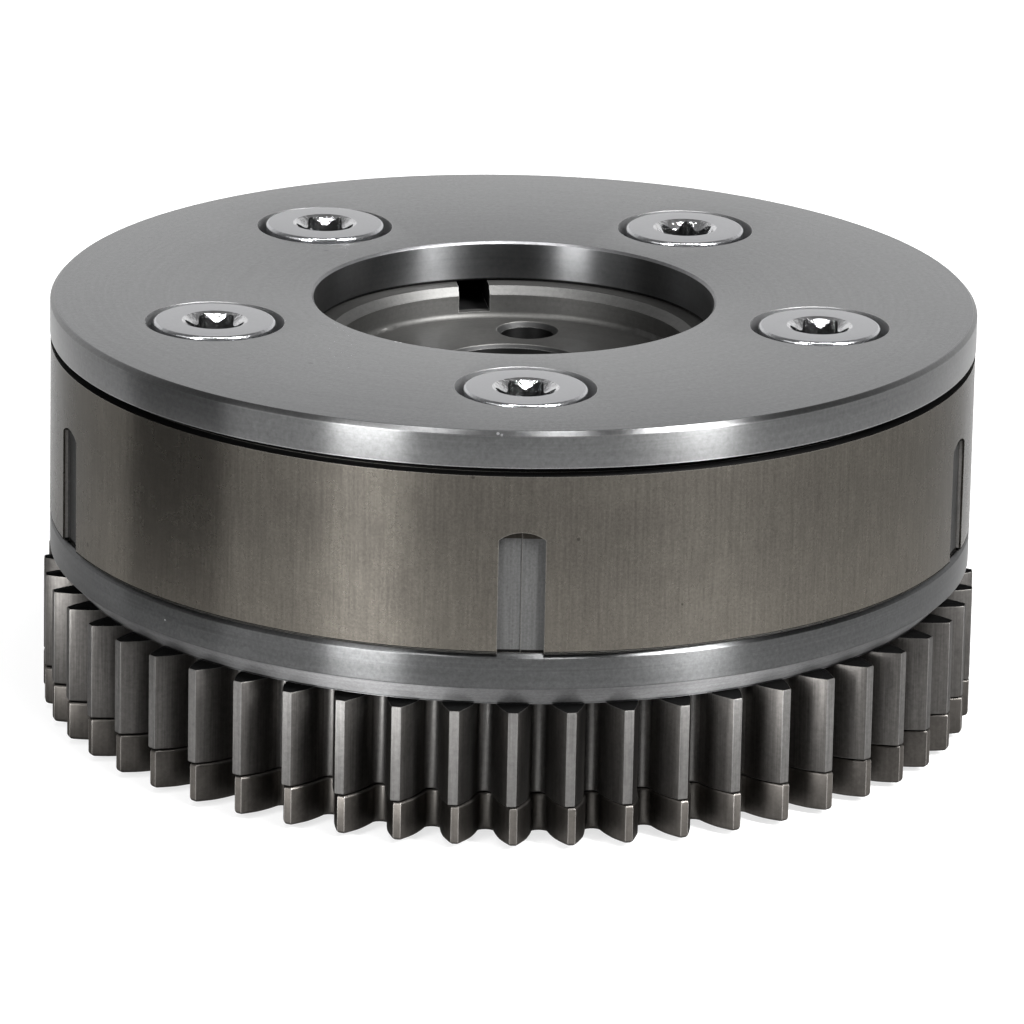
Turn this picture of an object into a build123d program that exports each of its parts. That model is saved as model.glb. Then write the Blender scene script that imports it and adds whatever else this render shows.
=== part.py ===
from build123d import *
import math
import os

# Cam phaser: a vane-type camshaft timing unit driven by a split anti-backlash gear.
# Lengths are millimetres and angles are degrees. +Z is the axis, towards the front cover.
# The origin is the centre of the rear hub's end face, which the part stands on.
# An azimuth is counted from the front, -Y, counter-clockwise as seen from above.

# Thicknesses of the stack, from the hub's rear face to the front of the cover
hub_proud = 0.6
scissor_width = 4.5
gear_seam = 0.1
gear_width = 11.1
gear_relief = 0.15
flange_thickness = 6.4
stator_height = 21.05
cover_thickness = 4.7

# Teeth, the same form on the wide gear and the scissor gear
tooth_count = 52
module = 2.0
pressure_angle = 20.0
root_clearance = 0.5
root_rise = 0.45
tip_break = 0.25
scissor_tip_break = 0.33
blank_edge = 0.35
tooth_azimuth = 0.89
scissor_lead = 0.27

# Steps in from the tooth tips to the stacked discs, and their edge breaks
cover_step = 0.6
stator_step = 0.67
flange_step = 0.7
cover_edge = 0.5
flange_front_edge = 0.5
flange_rear_chamfer = 2.45
parting_depth = 1.8
cover_parting = 0.51
stator_parting = 0.46
stator_rear_edge = 0.22

# Five-fold layout: a web with its screw between each two chambers
section_count = 5
screw_azimuth = 2.4
screw_inset = 0.7
web_half_angle = 14.0

# Cover
cover_land = 4.4
cover_bore_lip = 0.4
cover_bore_rear_edge = 0.2
counterbore_clearance = 0.95
counterbore_depth = 3.0

# Cover screws, M8 with a flat head and a six-lobe recess
screw_thread_radius = 4.0
screw_clearance = 0.2
screw_head_radius = 7.0
screw_head_drop = 0.05
screw_head_round = 0.75
thread_engagement = 9.25
screw_end_chamfer = 0.8
thread_fit = 0.02
tapped_hole_reserve = 0.8
lobe_outer_radius = 3.375
lobe_inner_radius = 2.425
lobe_depth = 3.2
lobe_lead_in = 0.3

# Stator
stator_wall = 6.83
vane_height = 19.0
web_corner_round = 1.0
chamber_corner_round = 1.0
slot_shift = -0.8
slot_width = 5.25
slot_depth = 0.75
slot_step = 0.12
slot_height = 14.15
slot_arch = 0.9

# Rotor
rotor_end_clearance = 0.1
rotor_hub_clearance = 0.05
vane_tip_clearance = 0.1
vane_half_angle = 8.0
lock_vane_half_angle = 12.2
vane_stop_clearance = 0.25
vane_root_round = 0.8
vane_tip_round = 1.2
rim_wall = 7.15
recess_depth = 3.6
recess_rim_chamfer = 0.9
recess_floor_round = 0.65
bolt_bore_radius = 8.75
bolt_bore_chamfer = 0.4
nose_socket_depth = 4.05
nose_socket_chamfer = 0.5
dowel_radius = 3.1
dowel_circle_radius = 15.0
dowel_shift = -18.25
dowel_chamfer = 0.55
oil_hole_radius = 1.25
oil_hole_drop = 7.0
oil_vane_offset = 2.9
oil_groove_depth = 2.0

# Vane tip seals and their leaf springs
seal_slot_width = 2.5
seal_slot_depth = 4.0
seal_side_clearance = 0.04
seal_wall_clearance = 0.04
seal_height = 2.85
seal_end_clearance = 0.1
seal_edge_round = 0.4
leaf_thickness = 0.3
leaf_width = 1.9
leaf_length = 17.0
leaf_gap = 0.02

# Lock pin group, in the wide vane
lock_pin_shift = -1.45
lock_pin_inset = 8.55
lock_pin_radius = 4.5
lock_pin_clearance = 0.05
lock_pin_head_room = 2.2
lock_pin_wall = 1.1
lock_pin_nose_floor = 5.0
lock_pin_nose_chamfer = 0.6
lock_pin_rise = 0.05
lock_cap_thickness = 1.6
lock_cap_recess = 0.1
lock_spring_clearance = 0.2
lock_spring_wire = 0.9
lock_spring_turns = 7
vent_slot_width = 3.7
vent_slot_depth = 2.9
vent_shift = 1.65
lock_seat_wall = 1.8
lock_seat_depth = 5.0
lock_seat_clearance = 0.2
lock_seat_lead_in = 0.5
lock_groove_width = 2.0
lock_groove_depth = 0.6

# Camshaft nose, rear hub and the scissor gear group
nose_radius = 18.98
journal_clearance = 0.05
socket_clearance = 0.02
journal_chamfer = 0.8
gear_ring_width = 16.5
hub_chamfer = 0.25
scissor_bore_clearance = 0.05
scissor_pocket_width = 4.6
scissor_pocket_depth = 2.5
snap_groove_start = 0.75
snap_groove_depth = 1.6
snap_thickness = 1.4
snap_fit = 0.05
snap_reach = 2.9
snap_gap_angle = 14.0
disc_thickness = 0.4
disc_clearance = 0.25
disc_outer_clearance = 0.6
spring_pocket_inset = 3.6
spring_pocket_width = 7.8
spring_pocket_depth = 5.4
ring_spring_inset = 1.4
ring_spring_width = 4.4
ring_spring_height = 4.6
ring_spring_drop = 0.4
spring_pin_radius = 2.5
spring_pin_seat = 3.0
spring_pin_fit = 0.03
spring_pin_gap = 0.2

# Heights of the faces between the stacked pieces
scissor_rear = hub_proud
scissor_front = scissor_rear + scissor_width
gear_rear = scissor_front + gear_seam
gear_front = gear_rear + gear_width
flange_rear = gear_front + gear_relief
flange_front = flange_rear + flange_thickness
stator_front = flange_front + stator_height
cover_front = stator_front + cover_thickness
rotor_rear = flange_front + rotor_end_clearance
rotor_front = stator_front - rotor_end_clearance
recess_floor = rotor_front - recess_depth
nose_socket_floor = rotor_rear + nose_socket_depth
counterbore_floor = cover_front - counterbore_depth
screw_tip = flange_front - thread_engagement
pocket_roof = gear_rear + spring_pocket_depth
ring_spring_front = pocket_roof - ring_spring_drop
ring_spring_rear = ring_spring_front - ring_spring_height
lock_cap_front = rotor_front - lock_cap_recess
lock_cap_rear = lock_cap_front - lock_cap_thickness
lock_pin_rear = flange_front + lock_pin_rise
lock_pin_front = lock_cap_rear - lock_pin_head_room

# Radii, worked inwards from the tooth tips
pitch_radius = module * tooth_count / 2
tip_radius = pitch_radius + module
root_radius = pitch_radius - module - root_clearance
cover_radius = tip_radius - cover_step
stator_radius = tip_radius - stator_step
flange_radius = tip_radius - flange_step
chamber_radius = stator_radius - stator_wall
web_bore_radius = chamber_radius - vane_height
cover_bore_radius = web_bore_radius - cover_land
rotor_hub_radius = web_bore_radius - rotor_hub_clearance
vane_tip_radius = chamber_radius - vane_tip_clearance
recess_radius = rotor_hub_radius - rim_wall
screw_circle_radius = (web_bore_radius + chamber_radius) / 2 - screw_inset
screw_hole_radius = screw_thread_radius + screw_clearance
counterbore_radius = screw_head_radius + counterbore_clearance
lock_circle_radius = rotor_hub_radius + lock_pin_inset
lock_bore_radius = lock_pin_radius + lock_pin_clearance
lock_seat_bore_radius = lock_pin_radius + lock_seat_clearance
lock_seat_radius = lock_seat_bore_radius + lock_seat_wall
journal_radius = nose_radius + journal_clearance
nose_socket_radius = nose_radius + socket_clearance
hub_radius = root_radius - gear_ring_width
scissor_pocket_radius = hub_radius + scissor_pocket_width
spring_pocket_inner_radius = hub_radius + spring_pocket_inset
spring_pocket_outer_radius = spring_pocket_inner_radius + spring_pocket_width
ring_spring_inner_radius = spring_pocket_inner_radius + ring_spring_inset
ring_spring_outer_radius = ring_spring_inner_radius + ring_spring_width
spring_pin_circle_radius = (ring_spring_inner_radius + ring_spring_outer_radius) / 2

# Azimuths of the screws, the chambers and, at rest, the vanes: the wide vane waits by its stop
pitch_azimuth = 360 / section_count
screw_azimuths = [screw_azimuth + i * pitch_azimuth for i in range(section_count)]
chamber_azimuths = [azimuth + pitch_azimuth / 2 for azimuth in screw_azimuths]
chamber_half_angle = pitch_azimuth / 2 - web_half_angle
rotor_turn = chamber_half_angle - lock_vane_half_angle - vane_stop_clearance
vane_azimuths = [azimuth + rotor_turn for azimuth in chamber_azimuths]
lock_vane = 2
lock_azimuth = vane_azimuths[lock_vane] + lock_pin_shift
vent_azimuth = vane_azimuths[lock_vane] + vent_shift
dowel_azimuth = vane_azimuths[lock_vane] + dowel_shift
slot_azimuth = screw_azimuth + slot_shift
spring_pin_azimuth = chamber_azimuths[0]


def at(radius, azimuth, z=0.0):
    """Return the point at a radius and azimuth."""
    angle = math.radians(azimuth - 90)
    return Vector(radius * math.cos(angle), radius * math.sin(angle), z)


def turned(azimuth):
    """Return the turn that carries a feature drawn on +X to an azimuth."""
    return Rot(0, 0, azimuth - 90)


def disc(radius, low, high):
    """Return a cylinder about the axis between two heights."""
    return Pos(0, 0, low) * Cylinder(radius, high - low, align=(Align.CENTER, Align.CENTER, Align.MIN))


def drill(radius, point_radius, azimuth, low, high):
    """Return a cylinder parallel to the axis, off it, between two heights."""
    centre = at(point_radius, azimuth)
    return Pos(centre.X, centre.Y, 0) * disc(radius, low, high)


def turn_profile(points):
    """Return the solid turned about the axis from (radius, height) corners."""
    outline = Polyline([(r, 0, z) for r, z in points], close=True)
    return revolve(make_face(outline), Axis.Z, 360)


def sector(inner, outer, half_angle):
    """Return a flat ring sector centred on +X, with its sides on radii."""
    turn = math.radians(half_angle)
    corner = [(r * math.cos(a), r * math.sin(a)) for r in (inner, outer) for a in (-turn, turn)]
    outline = [
        ThreePointArc(corner[0], (inner, 0), corner[1]),
        Line(corner[1], corner[3]),
        ThreePointArc(corner[3], (outer, 0), corner[2]),
        Line(corner[2], corner[0]),
    ]
    return make_face(outline)


def round_at_radius(sketch, radius, size):
    """Round the corners of a sketch that lie on a circle about the axis."""
    corners = [v for v in sketch.vertices() if abs(math.hypot(v.X, v.Y) - radius) < 0.01]
    return fillet(corners, size)


def involute_half_angle(radius):
    """Return half the angle that a tooth spans at a radius, in radians."""
    def involute(angle):
        return math.tan(angle) - angle

    base_radius = pitch_radius * math.cos(math.radians(pressure_angle))
    at_pitch = math.pi / (2 * tooth_count) + involute(math.radians(pressure_angle))
    return at_pitch - involute(math.acos(base_radius / radius))


def gear_outline(azimuth, edge_break):
    """Return the flat outline of the toothed ring, with a tooth centred on an azimuth."""
    def on_tooth(radius, angle):
        return (radius * math.cos(angle), radius * math.sin(angle))

    flank_radii = (root_radius + root_rise, pitch_radius, tip_radius - edge_break)
    foot, middle, shoulder = [involute_half_angle(r) for r in flank_radii]
    land = involute_half_angle(tip_radius) - edge_break / tip_radius
    step = 2 * math.pi / tooth_count
    edges = []
    for i in range(tooth_count):
        centre = i * step
        low = [on_tooth(r, centre - a) for r, a in zip(flank_radii, (foot, middle, shoulder))]
        high = [on_tooth(r, centre + a) for r, a in zip(flank_radii, (foot, middle, shoulder))]
        crest = [on_tooth(tip_radius, centre - land), on_tooth(tip_radius, centre + land)]
        next_foot = on_tooth(flank_radii[0], centre + step - foot)
        edges += [
            ThreePointArc(low[0], low[1], low[2]),
            Line(low[2], crest[0]),
            Line(crest[0], crest[1]),
            Line(crest[1], high[2]),
            ThreePointArc(high[2], high[1], high[0]),
            ThreePointArc(high[0], on_tooth(root_radius, centre + step / 2), next_foot),
        ]
    return turned(azimuth) * make_face(edges)


def toothed_ring(azimuth, edge_break, low, high):
    """Return a toothed disc between two heights, with the turned blank's edges broken."""
    teeth = extrude(Pos(0, 0, low) * gear_outline(azimuth, edge_break), high - low)
    blank = chamfer(disc(tip_radius, low, high).edges().filter_by(GeomType.CIRCLE), blank_edge)
    return teeth & blank


def parting_cut(low, high):
    """Return the ring that is turned off an outer corner at the parting groove."""
    return disc(cover_radius + 1, low, high) - disc(cover_radius - parting_depth, low, high)


def make_cover_plate():
    """Return the front cover ring with its counterbored screw holes."""
    body = disc(cover_radius, stator_front, cover_front)
    body = chamfer(body.edges().group_by(Axis.Z)[-1], cover_edge)
    body -= parting_cut(stator_front, stator_front + cover_parting)
    body -= disc(cover_bore_radius, stator_front, cover_front)
    bore_edges = body.edges().filter_by(GeomType.CIRCLE)
    bore_edges = bore_edges.filter_by(lambda e: abs(e.radius - cover_bore_radius) < 0.01).sort_by(Axis.Z)
    body = chamfer(bore_edges[-1], cover_bore_lip)
    rear = body.edges().filter_by(GeomType.CIRCLE)
    rear = rear.filter_by(lambda e: abs(e.radius - cover_bore_radius) < 0.01).sort_by(Axis.Z)
    body = chamfer(rear[0], cover_bore_rear_edge)
    for azimuth in screw_azimuths:
        body -= drill(screw_hole_radius, screw_circle_radius, azimuth, stator_front, cover_front)
        body -= drill(counterbore_radius, screw_circle_radius, azimuth, counterbore_floor, cover_front)
    return body


def six_lobe(outer, inner):
    """Return the flat outline of a six-lobe recess, with round lobes and round valleys."""
    middle = (outer + inner) / 2
    edges = []
    for i in range(6):
        angles = [math.radians(60 * i + a) for a in (-15, 0, 15, 30, 45)]
        radii = (middle, outer, middle, inner, middle)
        points = [(r * math.cos(a), r * math.sin(a)) for r, a in zip(radii, angles)]
        edges += [ThreePointArc(*points[0:3]), ThreePointArc(*points[2:5])]
    return make_face(edges)


def make_cover_screw():
    """Return one cover screw on the axis, with its head seated on the counterbore's floor."""
    head_top = cover_front - screw_head_drop
    head = disc(screw_head_radius, counterbore_floor, head_top)
    head = fillet(head.edges().group_by(Axis.Z)[-1], screw_head_round)
    shank = disc(screw_thread_radius, screw_tip, counterbore_floor)
    shank = chamfer(shank.edges().group_by(Axis.Z)[0], screw_end_chamfer)
    recess_low = Pos(0, 0, head_top - lobe_depth) * six_lobe(lobe_outer_radius, lobe_inner_radius)
    lead_in = turn_profile([
        (0, head_top - lobe_lead_in), (lobe_outer_radius - lobe_lead_in / 2, head_top - lobe_lead_in),
        (lobe_outer_radius + lobe_lead_in, head_top), (0, head_top),
    ])
    return head + shank - extrude(recess_low, lobe_depth) - lead_in


def make_stator():
    """Return the stator ring with its webs, screw holes and outer slots."""
    outline = Circle(stator_radius) - Circle(web_bore_radius)
    for azimuth in chamber_azimuths:
        outline -= turned(azimuth) * sector(web_bore_radius - 1, chamber_radius, chamber_half_angle)
    outline = round_at_radius(outline, chamber_radius, chamber_corner_round)
    outline = round_at_radius(outline, web_bore_radius, web_corner_round)
    body = extrude(Pos(0, 0, flange_front) * outline, stator_height)
    body -= parting_cut(stator_front - stator_parting, stator_front)
    rear_edge = disc(stator_radius + 1, flange_front, flange_front + stator_rear_edge)
    body -= rear_edge - disc(stator_radius - stator_rear_edge, flange_front, flange_front + stator_rear_edge)
    for azimuth in screw_azimuths:
        body -= drill(screw_hole_radius, screw_circle_radius, azimuth, flange_front, stator_front)
    for i in range(section_count):
        body -= turned(slot_azimuth + i * pitch_azimuth) * outer_slot()
    return body


def outer_slot():
    """Return the cutter of one outer slot on +X: stepped flat floor, shallow arched top."""
    half = slot_width / 2
    side_top = flange_front + slot_height - slot_arch
    outline = [
        Line((0, -half, flange_front), (0, half, flange_front)),
        Line((0, half, flange_front), (0, half, side_top)),
        ThreePointArc((0, half, side_top), (0, 0, side_top + slot_arch), (0, -half, side_top)),
        Line((0, -half, side_top), (0, -half, flange_front)),
    ]
    full = Pos(stator_radius - slot_depth - slot_step, 0, 0) * extrude(make_face(outline), 3, dir=(1, 0, 0))
    step = Pos(stator_radius - slot_depth - slot_step, half, flange_front + slot_height / 2) * Box(
        2 * slot_step, slot_width, slot_height + 1
    )
    return full - step


def seal_slot():
    """Return the cutter of one seal slot in a vane tip on +X, open outwards."""
    centre = vane_tip_radius - seal_slot_depth / 2 + 1
    height = rotor_front - rotor_rear
    return Pos(centre, 0, rotor_rear + height / 2) * Box(seal_slot_depth + 2, seal_slot_width, height)


def vent_slot():
    """Return the cutter of the slot from the recess to the space behind the lock pin."""
    start = at(recess_radius - 1, vent_azimuth)
    end = at(lock_circle_radius, lock_azimuth)
    run = end - start
    bearing = math.degrees(math.atan2(run.Y, run.X))
    cutter = Box(run.length, vent_slot_width, vent_slot_depth, align=(Align.MIN, Align.CENTER, Align.MIN))
    return Pos(start.X, start.Y, rotor_front - vent_slot_depth) * Rot(0, 0, bearing) * cutter


def rotor_outline():
    """Return the flat outline of the hub and its five vanes."""
    outline = Circle(rotor_hub_radius)
    for i, azimuth in enumerate(vane_azimuths):
        half_angle = lock_vane_half_angle if i == lock_vane else vane_half_angle
        vane = sector(rotor_hub_radius - 3, vane_tip_radius, half_angle)
        outline += turned(azimuth) * round_at_radius(vane, vane_tip_radius, vane_tip_round)
    return round_at_radius(outline, rotor_hub_radius, vane_root_round)


def recess_cut():
    """Return the turned cutter of the rotor's front recess, with its rim and floor edges."""
    low = recess_floor
    pocket = disc(recess_radius, low, rotor_front + 1)
    pocket = fillet(pocket.edges().group_by(Axis.Z)[0], recess_floor_round)
    rim = turn_profile([
        (0, rotor_front - recess_rim_chamfer), (recess_radius, rotor_front - recess_rim_chamfer),
        (recess_radius + recess_rim_chamfer, rotor_front), (0, rotor_front),
    ])
    return pocket + rim


def countersink(radius, size, point_radius, azimuth, face, mouth_up=True):
    """Return the cone that breaks a hole's edge at a face."""
    sign = 1 if mouth_up else -1
    cone = turn_profile([
        (0, face - sign * size), (radius, face - sign * size), (radius + size, face), (0, face),
    ])
    centre = at(point_radius, azimuth)
    return Pos(centre.X, centre.Y, 0) * cone


def make_rotor():
    """Return the rotor: hub, vanes, front recess, bores, oil ways and seal slots."""
    body = extrude(Pos(0, 0, rotor_rear) * rotor_outline(), rotor_front - rotor_rear)
    body -= recess_cut()
    body -= disc(bolt_bore_radius, rotor_rear, recess_floor)
    body -= countersink(bolt_bore_radius, bolt_bore_chamfer, 0, 0, recess_floor)
    body -= disc(nose_socket_radius, rotor_rear, nose_socket_floor)
    body -= countersink(nose_socket_radius, nose_socket_chamfer, 0, 0, rotor_rear, mouth_up=False)
    body -= drill(dowel_radius, dowel_circle_radius, dowel_azimuth, nose_socket_floor, recess_floor)
    body -= countersink(dowel_radius, dowel_chamfer, dowel_circle_radius, dowel_azimuth, recess_floor)
    body -= drill(lock_bore_radius, lock_circle_radius, lock_azimuth, rotor_rear, rotor_front)
    body -= vent_slot()
    for i, azimuth in enumerate(vane_azimuths):
        half_angle = lock_vane_half_angle if i == lock_vane else vane_half_angle
        body -= turned(azimuth) * seal_slot()
        body -= turned(azimuth + half_angle + oil_vane_offset) * oil_hole()
        body -= turned(azimuth - half_angle - oil_vane_offset) * oil_groove()
    return body


def oil_hole():
    """Return the cutter of one radial oil hole on +X, from the bolt bore to the hub's outside."""
    length = rotor_hub_radius + 1 - bolt_bore_radius / 2
    hole = Rot(0, 90, 0) * Cylinder(oil_hole_radius, length, align=(Align.CENTER, Align.CENTER, Align.MIN))
    return Pos(bolt_bore_radius / 2, 0, rotor_front - oil_hole_drop) * hole


def oil_groove():
    """Return the cutter of one oil groove on +X in the rotor's rear face."""
    length = rotor_hub_radius + 1 - nose_socket_radius / 2
    groove = Box(length, 2 * oil_hole_radius, oil_groove_depth, align=(Align.MIN, Align.CENTER, Align.MIN))
    return Pos(nose_socket_radius / 2, 0, rotor_rear) * groove


def make_vane_seal():
    """Return one sealing bar on +X, standing off the chamber wall by its running gap."""
    outer = chamber_radius - seal_wall_clearance
    width = seal_slot_width - 2 * seal_side_clearance
    low = rotor_rear + seal_end_clearance
    length = rotor_front - rotor_rear - 2 * seal_end_clearance
    blank = Pos(outer - seal_height / 2, 0, low + length / 2) * Box(seal_height, width, length)
    inner_edges = blank.edges().filter_by(Axis.Z).sort_by(Axis.X)[:2]
    blank = fillet(inner_edges, seal_edge_round)
    return blank & disc(outer, low, low + length)


def make_seal_spring():
    """Return one bowed leaf spring on +X, its ends on the slot's floor and its middle on the bar."""
    floor = vane_tip_radius - seal_slot_depth + leaf_gap
    bar_inner = chamber_radius - seal_wall_clearance - seal_height
    bow = bar_inner - leaf_gap - leaf_thickness - floor
    middle = (rotor_rear + rotor_front) / 2
    half = leaf_length / 2
    line = ThreePointArc(
        (floor, 0, middle - half), (floor + bow, 0, middle), (floor, 0, middle + half)
    )
    thick = ThreePointArc(
        (floor + leaf_thickness, 0, middle + half),
        (floor + leaf_thickness + bow, 0, middle),
        (floor + leaf_thickness, 0, middle - half),
    )
    outline = [line, Line(line @ 1, thick @ 0), thick, Line(thick @ 1, line @ 0)]
    return extrude(make_face(outline), leaf_width / 2, dir=(0, 1, 0), both=True)


def make_lock_pin():
    """Return the lock pin with its nose just above the flange's face."""
    pin = drill(lock_pin_radius, lock_circle_radius, lock_azimuth, lock_pin_rear, lock_pin_front)
    pin = chamfer(pin.edges().group_by(Axis.Z)[0], lock_pin_nose_chamfer)
    floor = lock_pin_rear + lock_pin_nose_floor
    hollow = lock_pin_radius - lock_pin_wall
    return pin - drill(hollow, lock_circle_radius, lock_azimuth, floor, lock_pin_front)


def make_lock_pin_cap():
    """Return the plug at the front of the lock pin's bore."""
    return drill(lock_bore_radius, lock_circle_radius, lock_azimuth, lock_cap_rear, lock_cap_front)


def make_lock_pin_spring():
    """Return the coil spring between the pin's floor and the cap."""
    low = lock_pin_rear + lock_pin_nose_floor + lock_spring_wire / 2
    high = lock_cap_rear - lock_spring_wire / 2
    centre = at(lock_circle_radius, lock_azimuth)
    radius = lock_pin_radius - lock_pin_wall - lock_spring_clearance - lock_spring_wire / 2
    path = Helix((high - low) / lock_spring_turns, high - low, radius)
    section = Plane(path @ 0, z_dir=path % 0) * Circle(lock_spring_wire / 2)
    return Pos(centre.X, centre.Y, low) * sweep(section, path=path)


def make_lock_seat():
    """Return the hardened bush in the flange that takes the pin's nose."""
    low = flange_front - lock_seat_depth
    ring = drill(lock_seat_radius, lock_circle_radius, lock_azimuth, low, flange_front)
    ring -= drill(lock_seat_bore_radius, lock_circle_radius, lock_azimuth, low, flange_front)
    return ring - countersink(
        lock_seat_bore_radius, lock_seat_lead_in, lock_circle_radius, lock_azimuth, flange_front
    )


def make_drive_gear():
    """Return the flange, the wide gear and the rear hub, which are one piece."""
    half_neck = flange_radius - flange_rear_chamfer
    flange = turn_profile([
        (0, gear_front - 1), (half_neck, gear_front - 1), (half_neck, flange_rear),
        (flange_radius, flange_rear + flange_rear_chamfer),
        (flange_radius, flange_front - flange_front_edge),
        (flange_radius - flange_front_edge, flange_front), (0, flange_front),
    ])
    body = flange + toothed_ring(tooth_azimuth, tip_break, gear_rear, gear_front)
    hub = disc(hub_radius, 0, gear_front)
    body += chamfer(hub.edges().group_by(Axis.Z)[0], hub_chamfer)
    body -= disc(journal_radius, 0, flange_front)
    body -= countersink(journal_radius, journal_chamfer, 0, 0, 0, mouth_up=False)
    body -= spring_pocket()
    body -= snap_groove()
    for azimuth in screw_azimuths:
        hole = screw_thread_radius + thread_fit
        body -= drill(hole, screw_circle_radius, azimuth, screw_tip - tapped_hole_reserve, flange_front)
    seat_floor = flange_front - lock_seat_depth
    body -= drill(lock_seat_radius, lock_circle_radius, lock_azimuth, seat_floor, flange_front)
    return body - spring_pin_cut(pocket_roof, pocket_roof + spring_pin_seat) - lock_groove()


def lock_groove():
    """Return the cutter of the oil groove in the flange's face, from the lock seat to its chamber."""
    end_azimuth = chamber_azimuths[lock_vane] - chamber_half_angle / 2
    start = at(lock_circle_radius, lock_azimuth)
    run = at(lock_circle_radius, end_azimuth) - start
    bearing = math.degrees(math.atan2(run.Y, run.X))
    cutter = Box(
        run.length, lock_groove_width, lock_groove_depth, align=(Align.MIN, Align.CENTER, Align.MAX)
    )
    return Pos(start.X, start.Y, flange_front) * Rot(0, 0, bearing) * cutter


def spring_pin_cut(low, high):
    """Return a cylinder of the spring pins' size and place between two heights."""
    return drill(spring_pin_radius, spring_pin_circle_radius, spring_pin_azimuth, low, high)


def spring_pocket():
    """Return the annular cutter for the ring spring in the wide gear's rear face."""
    outer = disc(spring_pocket_outer_radius, gear_rear, pocket_roof)
    return outer - disc(spring_pocket_inner_radius, gear_rear, pocket_roof)


def snap_groove():
    """Return the cutter of the snap ring's groove in the hub."""
    low = snap_groove_start
    high = low + snap_thickness + 2 * snap_fit
    return disc(hub_radius + 1, low, high) - disc(hub_radius - snap_groove_depth, low, high)


def make_scissor_gear():
    """Return the narrow gear with its bore, rear pocket and pin hole."""
    azimuth = tooth_azimuth + scissor_lead
    body = toothed_ring(azimuth, scissor_tip_break, scissor_rear, scissor_front)
    body -= disc(hub_radius + scissor_bore_clearance, scissor_rear, scissor_front)
    body -= disc(scissor_pocket_radius, scissor_rear, scissor_rear + scissor_pocket_depth)
    return body - spring_pin_cut(scissor_rear, scissor_front)


def make_scissor_spring():
    """Return the open ring spring, its gap on the two pins."""
    ring = disc(ring_spring_outer_radius, ring_spring_rear, ring_spring_front)
    ring -= disc(ring_spring_inner_radius, ring_spring_rear, ring_spring_front)
    gap_width = 2 * (spring_pin_radius + spring_pin_fit)
    gap = Box(
        2 * ring_spring_width, gap_width, ring_spring_height,
        align=(Align.CENTER, Align.CENTER, Align.MIN),
    )
    return ring - turned(spring_pin_azimuth) * Pos(spring_pin_circle_radius, 0, ring_spring_rear) * gap


def make_gear_spring_pin():
    """Return the pin in the wide gear, which fills the upper half of the spring's gap."""
    low = (ring_spring_rear + ring_spring_front + spring_pin_gap) / 2
    return spring_pin_cut(low, pocket_roof + spring_pin_seat)


def make_scissor_spring_pin():
    """Return the pin in the scissor gear, which fills the lower half of the spring's gap."""
    return spring_pin_cut(scissor_rear, (ring_spring_rear + ring_spring_front - spring_pin_gap) / 2)


def make_snap_ring():
    """Return the open snap ring in the hub's groove."""
    low = snap_groove_start + snap_fit
    high = low + snap_thickness
    inner = hub_radius - snap_groove_depth + snap_fit
    outer = hub_radius + snap_reach
    ring = disc(outer, low, high) - disc(inner, low, high)
    opening = extrude(Pos(0, 0, low) * sector(inner - 1, outer + 1, snap_gap_angle / 2), snap_thickness)
    return ring - turned(180) * opening


def make_disc_spring():
    """Return the cone-shaped spring washer between the snap ring and the scissor gear."""
    low = snap_groove_start + snap_fit + snap_thickness
    high = scissor_rear + scissor_pocket_depth
    inner = hub_radius + disc_clearance
    outer = scissor_pocket_radius - disc_outer_clearance
    return turn_profile([
        (inner, low), (outer, high - disc_thickness), (outer, high), (inner, low + disc_thickness),
    ])


def make_all():
    """Return every piece by node name."""
    pieces = {
        "cover_plate": make_cover_plate(),
        "stator": make_stator(),
        "drive_gear": make_drive_gear(),
        "scissor_gear": make_scissor_gear(),
        "rotor": make_rotor(),
        "lock_pin": make_lock_pin(),
        "lock_pin_cap": make_lock_pin_cap(),
        "lock_pin_spring": make_lock_pin_spring(),
        "lock_seat": make_lock_seat(),
        "scissor_spring": make_scissor_spring(),
        "gear_spring_pin": make_gear_spring_pin(),
        "scissor_spring_pin": make_scissor_spring_pin(),
        "snap_ring": make_snap_ring(),
        "disc_spring": make_disc_spring(),
    }
    screw = make_cover_screw()
    seal = make_vane_seal()
    leaf = make_seal_spring()
    for i in range(section_count):
        centre = at(screw_circle_radius, screw_azimuths[i])
        pieces[f"cover_screw_{i + 1}"] = Pos(centre.X, centre.Y, 0) * screw
        pieces[f"vane_seal_{i + 1}"] = turned(vane_azimuths[i]) * seal
        pieces[f"seal_spring_{i + 1}"] = turned(vane_azimuths[i]) * leaf
    return pieces


os.makedirs("parts", exist_ok=True)
for node, piece in make_all().items():
    export_step(piece, f"parts/{node}.step")
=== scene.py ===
"""Cam phaser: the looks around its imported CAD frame.

A vane-type cam phaser stands on the rear hub of its split gear. The camera stands where the
photograph's did. Every piece keeps the place and size that the frame gives it, and every finish
is made from shader nodes.
"""

from __future__ import annotations

import logging
import math
from collections.abc import Callable
from dataclasses import dataclass
from enum import Enum
from functools import partial

import bpy
from mathutils import Matrix, Vector

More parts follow.
